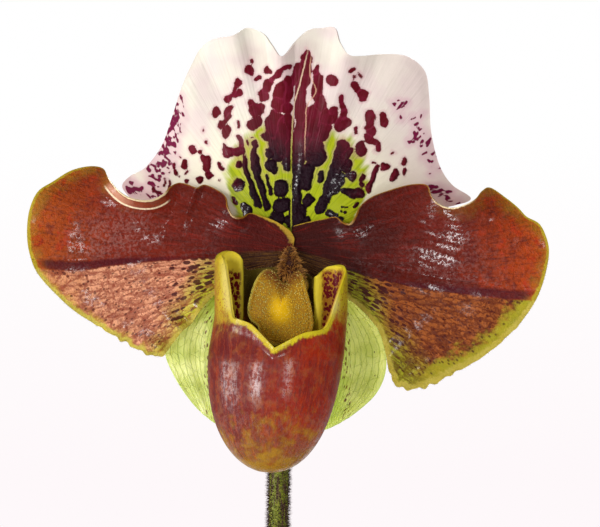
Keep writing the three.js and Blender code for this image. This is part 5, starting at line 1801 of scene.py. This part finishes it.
root_hairs = grow_hairs(
    "root_hairs", crown, count=5000, length=1.1, width=0.06, seed=31, where=on_roots, lean=0.5)
settle(root_hairs, hair_finish("root_hair", "6a5036", "b7a07a"), "root")

# %% [markdown]
# ## Potting bark
# The pot is filled with chips of fir bark. A few chips are modelled from a cube: its faces are
# subdivided, its corners pulled about, and its broad faces flaked. Copies lie in the top layers,
# turned at random and nearly flat, with a dark bed under them.

# %% Bark
BARK_TOP = 88.0
POT_HEIGHT = 105.0
POT_TOP_RADIUS = 60.0
POT_FOOT_RADIUS = 40.0
POT_WALL = 5.0
POT_FLOOR = 7.0


def one_chip(random):
    """A flaky block about two units long, as corners and faces."""
    deselect()
    bpy.ops.mesh.primitive_cube_add(size=1)
    chip = bpy.context.object
    bpy.ops.object.mode_set(mode="EDIT")
    bpy.ops.mesh.subdivide(number_cuts=2)
    bpy.ops.object.mode_set(mode="OBJECT")
    corners, faces = take_apart(chip)
    corners[:, 0] *= 1 + 0.25 * np.sign(corners[:, 1]) * random.uniform(-1, 1)
    inner = np.abs(corners).max(1, keepdims=True)
    rounding = np.linalg.norm(corners, axis=1, keepdims=True) / inner
    corners = corners * between(1.0, 0.92, rounding - 1)
    return corners + random.normal(0, 0.045, corners.shape), faces


def turn_matrix(yaw, pitch, roll):
    c, s = np.cos([yaw, pitch, roll]), np.sin([yaw, pitch, roll])
    around = np.array([[c[0], -s[0], 0], [s[0], c[0], 0], [0, 0, 1]])
    nod = np.array([[c[1], 0, s[1]], [0, 1, 0], [-s[1], 0, c[1]]])
    rock = np.array([[1, 0, 0], [0, c[2], -s[2]], [0, s[2], c[2]]])
    return around @ nod @ rock


def room_radius(height):
    """The room inside the pot at a height."""
    share = (height - POT_FLOOR) / (POT_HEIGHT - 2 - POT_FLOOR)
    return between(POT_FOOT_RADIUS - POT_WALL, POT_TOP_RADIUS - POT_WALL - 1.2, share) - GAP


CHIP_COUNT = 560
CHIP_REACH = 50.5
GOLDEN_SHARE = 0.618034
GOLDEN_ANGLE = 2.39996


def make_bark():
    random = np.random.default_rng(41)
    chips = [one_chip(random) for _ in range(5)]
    corners, faces, tints = [], [], []
    start = 0
    for k in range(CHIP_COUNT):
        shape, shape_faces = chips[k % len(chips)]
        size = np.array([random.uniform(8, 15), random.uniform(5.5, 9), random.uniform(2.4, 4.6)])
        far = CHIP_REACH * math.sqrt((k * GOLDEN_SHARE) % 1)
        angle = k * GOLDEN_ANGLE
        turn = turn_matrix(random.uniform(0, 6.28), random.normal(0, 0.32), random.normal(0, 0.32))
        centre = (far * math.cos(angle), far * math.sin(angle),
                  BARK_TOP - random.uniform(0.5, 7.0))
        placed = (shape * size) @ turn.T + centre
        if not fits(placed):
            continue
        corners.append(placed)
        faces += [tuple(corner + start for corner in face) for face in shape_faces]
        tints.append(np.full(len(shape), random.random()))
        start += len(shape)
    piece = add_copies("bark_chips", np.concatenate(corners) * MM, faces)
    paint(piece, tint=np.concatenate(tints))
    print("chips:", len(corners))
    return piece


def fits(placed):
    """Whether a chip stays inside the pot and clear of the crown."""
    far = np.hypot(placed[:, 0], placed[:, 1])
    young = np.hypot(placed[:, 0] - YOUNG_CROWN[0], placed[:, 1] - YOUNG_CROWN[1])
    roomy = (far < room_radius(placed[:, 2]) - 0.2).all() and placed[:, 2].max() < BARK_TOP + 3.4
    return roomy and far.min() > CROWN_RADIUS + 1.2 and young.min() > YOUNG_CROWN_RADIUS + 1.2


def bark_finish():
    skin = Finish("bark_skin", Specular_IOR_Level=0.25)
    place = skin.place()
    tint, = skin.values("tint")
    flakes = skin.noise(place, 0.42, 6.0, 0.7, 0.6)
    fine = skin.noise(place, 1.6, 4.0, 0.65)
    colour = skin.mix(tint, "6d452b", "3d2518")
    colour = colour.coat(skin.step(flakes, 0.45, 0.62) * 0.7, "94663f")
    colour = colour.coat(skin.step(fine, 0.55, 0.7) * 0.6, "2a1810")
    colour = colour.coat(skin.step(skin.noise(place, 0.12, 2.0), 0.55, 0.7) * 0.35, "5c5a3a")
    skin.bump(flakes + fine * 0.7, 0.9)
    return skin.finish(Base_Color=colour, Roughness=0.88)


bark = make_bark()
bark_skin = bark_finish()
settle(bark, bark_skin, "bark", "potting_bark", sharp=35)


# %% [markdown]
# ## Turned solids
# A thrown pot is one outline spun round an axis. Its outline is drawn by extruding a single
# vertex from corner to corner, and the spin operator carries it round. A bevel then softens the
# corners, as a sponge does on wet clay.

# %% Spin an outline
def spin_outline(name, outline, steps):
    """A turned solid from (radius, height) corners in millimetres that close on themselves."""
    deselect()
    bpy.ops.mesh.primitive_plane_add(size=2 * MM)
    piece = name_new(name)
    bpy.ops.object.mode_set(mode="EDIT")
    bpy.ops.mesh.select_all(action="SELECT")
    bpy.ops.mesh.merge(type="CENTER")
    radius, height = outline[0]
    bpy.ops.transform.translate(value=(radius * MM, 0, height * MM))
    for (r0, z0), (r1, z1) in zip(outline, outline[1:]):
        move = ((r1 - r0) * MM, 0, (z1 - z0) * MM)
        bpy.ops.mesh.extrude_region_move(TRANSFORM_OT_translate={"value": move})
    bpy.ops.mesh.select_all(action="SELECT")
    bpy.ops.mesh.spin(steps=steps, angle=2 * math.pi, center=(0, 0, 0), axis=(0, 0, 1))
    bpy.ops.object.mode_set(mode="OBJECT")
    close_up(piece)
    return piece


# %% [markdown]
# ## The pot
# A plain flower pot has a band round its rim, a foot ring and a drain hole. The clay is orange and
# chalky, with pale salts on its wall and a damp foot. The band could be a piece of its own, but it
# is thrown in one with the wall, so it is part of the outline.

# %% Make the pot
RIM_BAND_HEIGHT = 22.0
RIM_BAND_STEP = 3.0
DRAIN_RADIUS = 7.0
SOFT_CORNER = 0.7
band_foot = POT_HEIGHT - RIM_BAND_HEIGHT
wall_top = POT_TOP_RADIUS - RIM_BAND_STEP
POT_OUTLINE = [
    (DRAIN_RADIUS, 2), (DRAIN_RADIUS + 8, 1.5), (POT_FOOT_RADIUS - 8, 1.5),
    (POT_FOOT_RADIUS - 7, 0), (POT_FOOT_RADIUS - 1.5, 0), (POT_FOOT_RADIUS, 1.5),
    (wall_top - 2, band_foot - 1), (wall_top + 0.5, band_foot),
    (POT_TOP_RADIUS - 1.2, band_foot + 1), (POT_TOP_RADIUS, POT_HEIGHT - 2),
    (POT_TOP_RADIUS - 1.5, POT_HEIGHT), (POT_TOP_RADIUS - POT_WALL, POT_HEIGHT),
    (POT_TOP_RADIUS - POT_WALL - 1.2, POT_HEIGHT - 2),
    (POT_FOOT_RADIUS - POT_WALL, POT_FLOOR), (DRAIN_RADIUS, POT_FLOOR),
    (DRAIN_RADIUS, 2),
]


def pot_finish():
    skin = Finish("clay_skin", Specular_IOR_Level=0.25)
    place = skin.place()
    height = skin.parts(place)[2]
    grain = skin.noise(place, 1.3, 5.0, 0.65)
    clouds = skin.noise(place, 0.035, 4.0, 0.6)
    rings = skin.noise(skin.vector(0.0, 0.0, height), 0.9, 3.0)
    colour = skin.mix(skin.step(clouds, 0.35, 0.65), "b8693f", "a65a35")
    colour = colour.coat(skin.step(rings, 0.45, 0.7) * 0.35, "c47c50")
    colour = colour.coat(skin.step(grain, 0.56, 0.72) * 0.35, "8c4a2c")
    pale_patch = skin.step(clouds + grain * 0.25 + skin.step(height, 60.0, 4.0) * 0.12, 0.66, 0.86)
    colour = colour.coat(pale_patch * 0.55, "d9c3ae")
    damp = skin.step(height + clouds * 26.0, 34.0, 12.0)
    colour = colour.coat(damp * 0.35, "8a4e31")
    skin.bump(grain * 0.5 + rings * 0.8, 0.35)
    return skin.finish(Base_Color=colour, Roughness=0.85)


pot = spin_outline("pot", POT_OUTLINE, 144)
apply_modifier(pot, "BEVEL", width=SOFT_CORNER * MM, segments=3, limit_method="ANGLE",
               angle_limit=math.radians(25))
settle(pot, pot_finish(), "clay", "pot", sharp=30)

bed_top = BARK_TOP - 6
bed = spin_outline("bark_bed", [
    (0.01, POT_FLOOR + GAP), (room_radius(POT_FLOOR) - 0.2, POT_FLOOR + GAP),
    (room_radius(bed_top) - 0.2, bed_top), (0.01, bed_top), (0.01, POT_FLOOR + GAP)], 96)
paint(bed, tint=[1.0])
settle(bed, bark_skin, "bark")
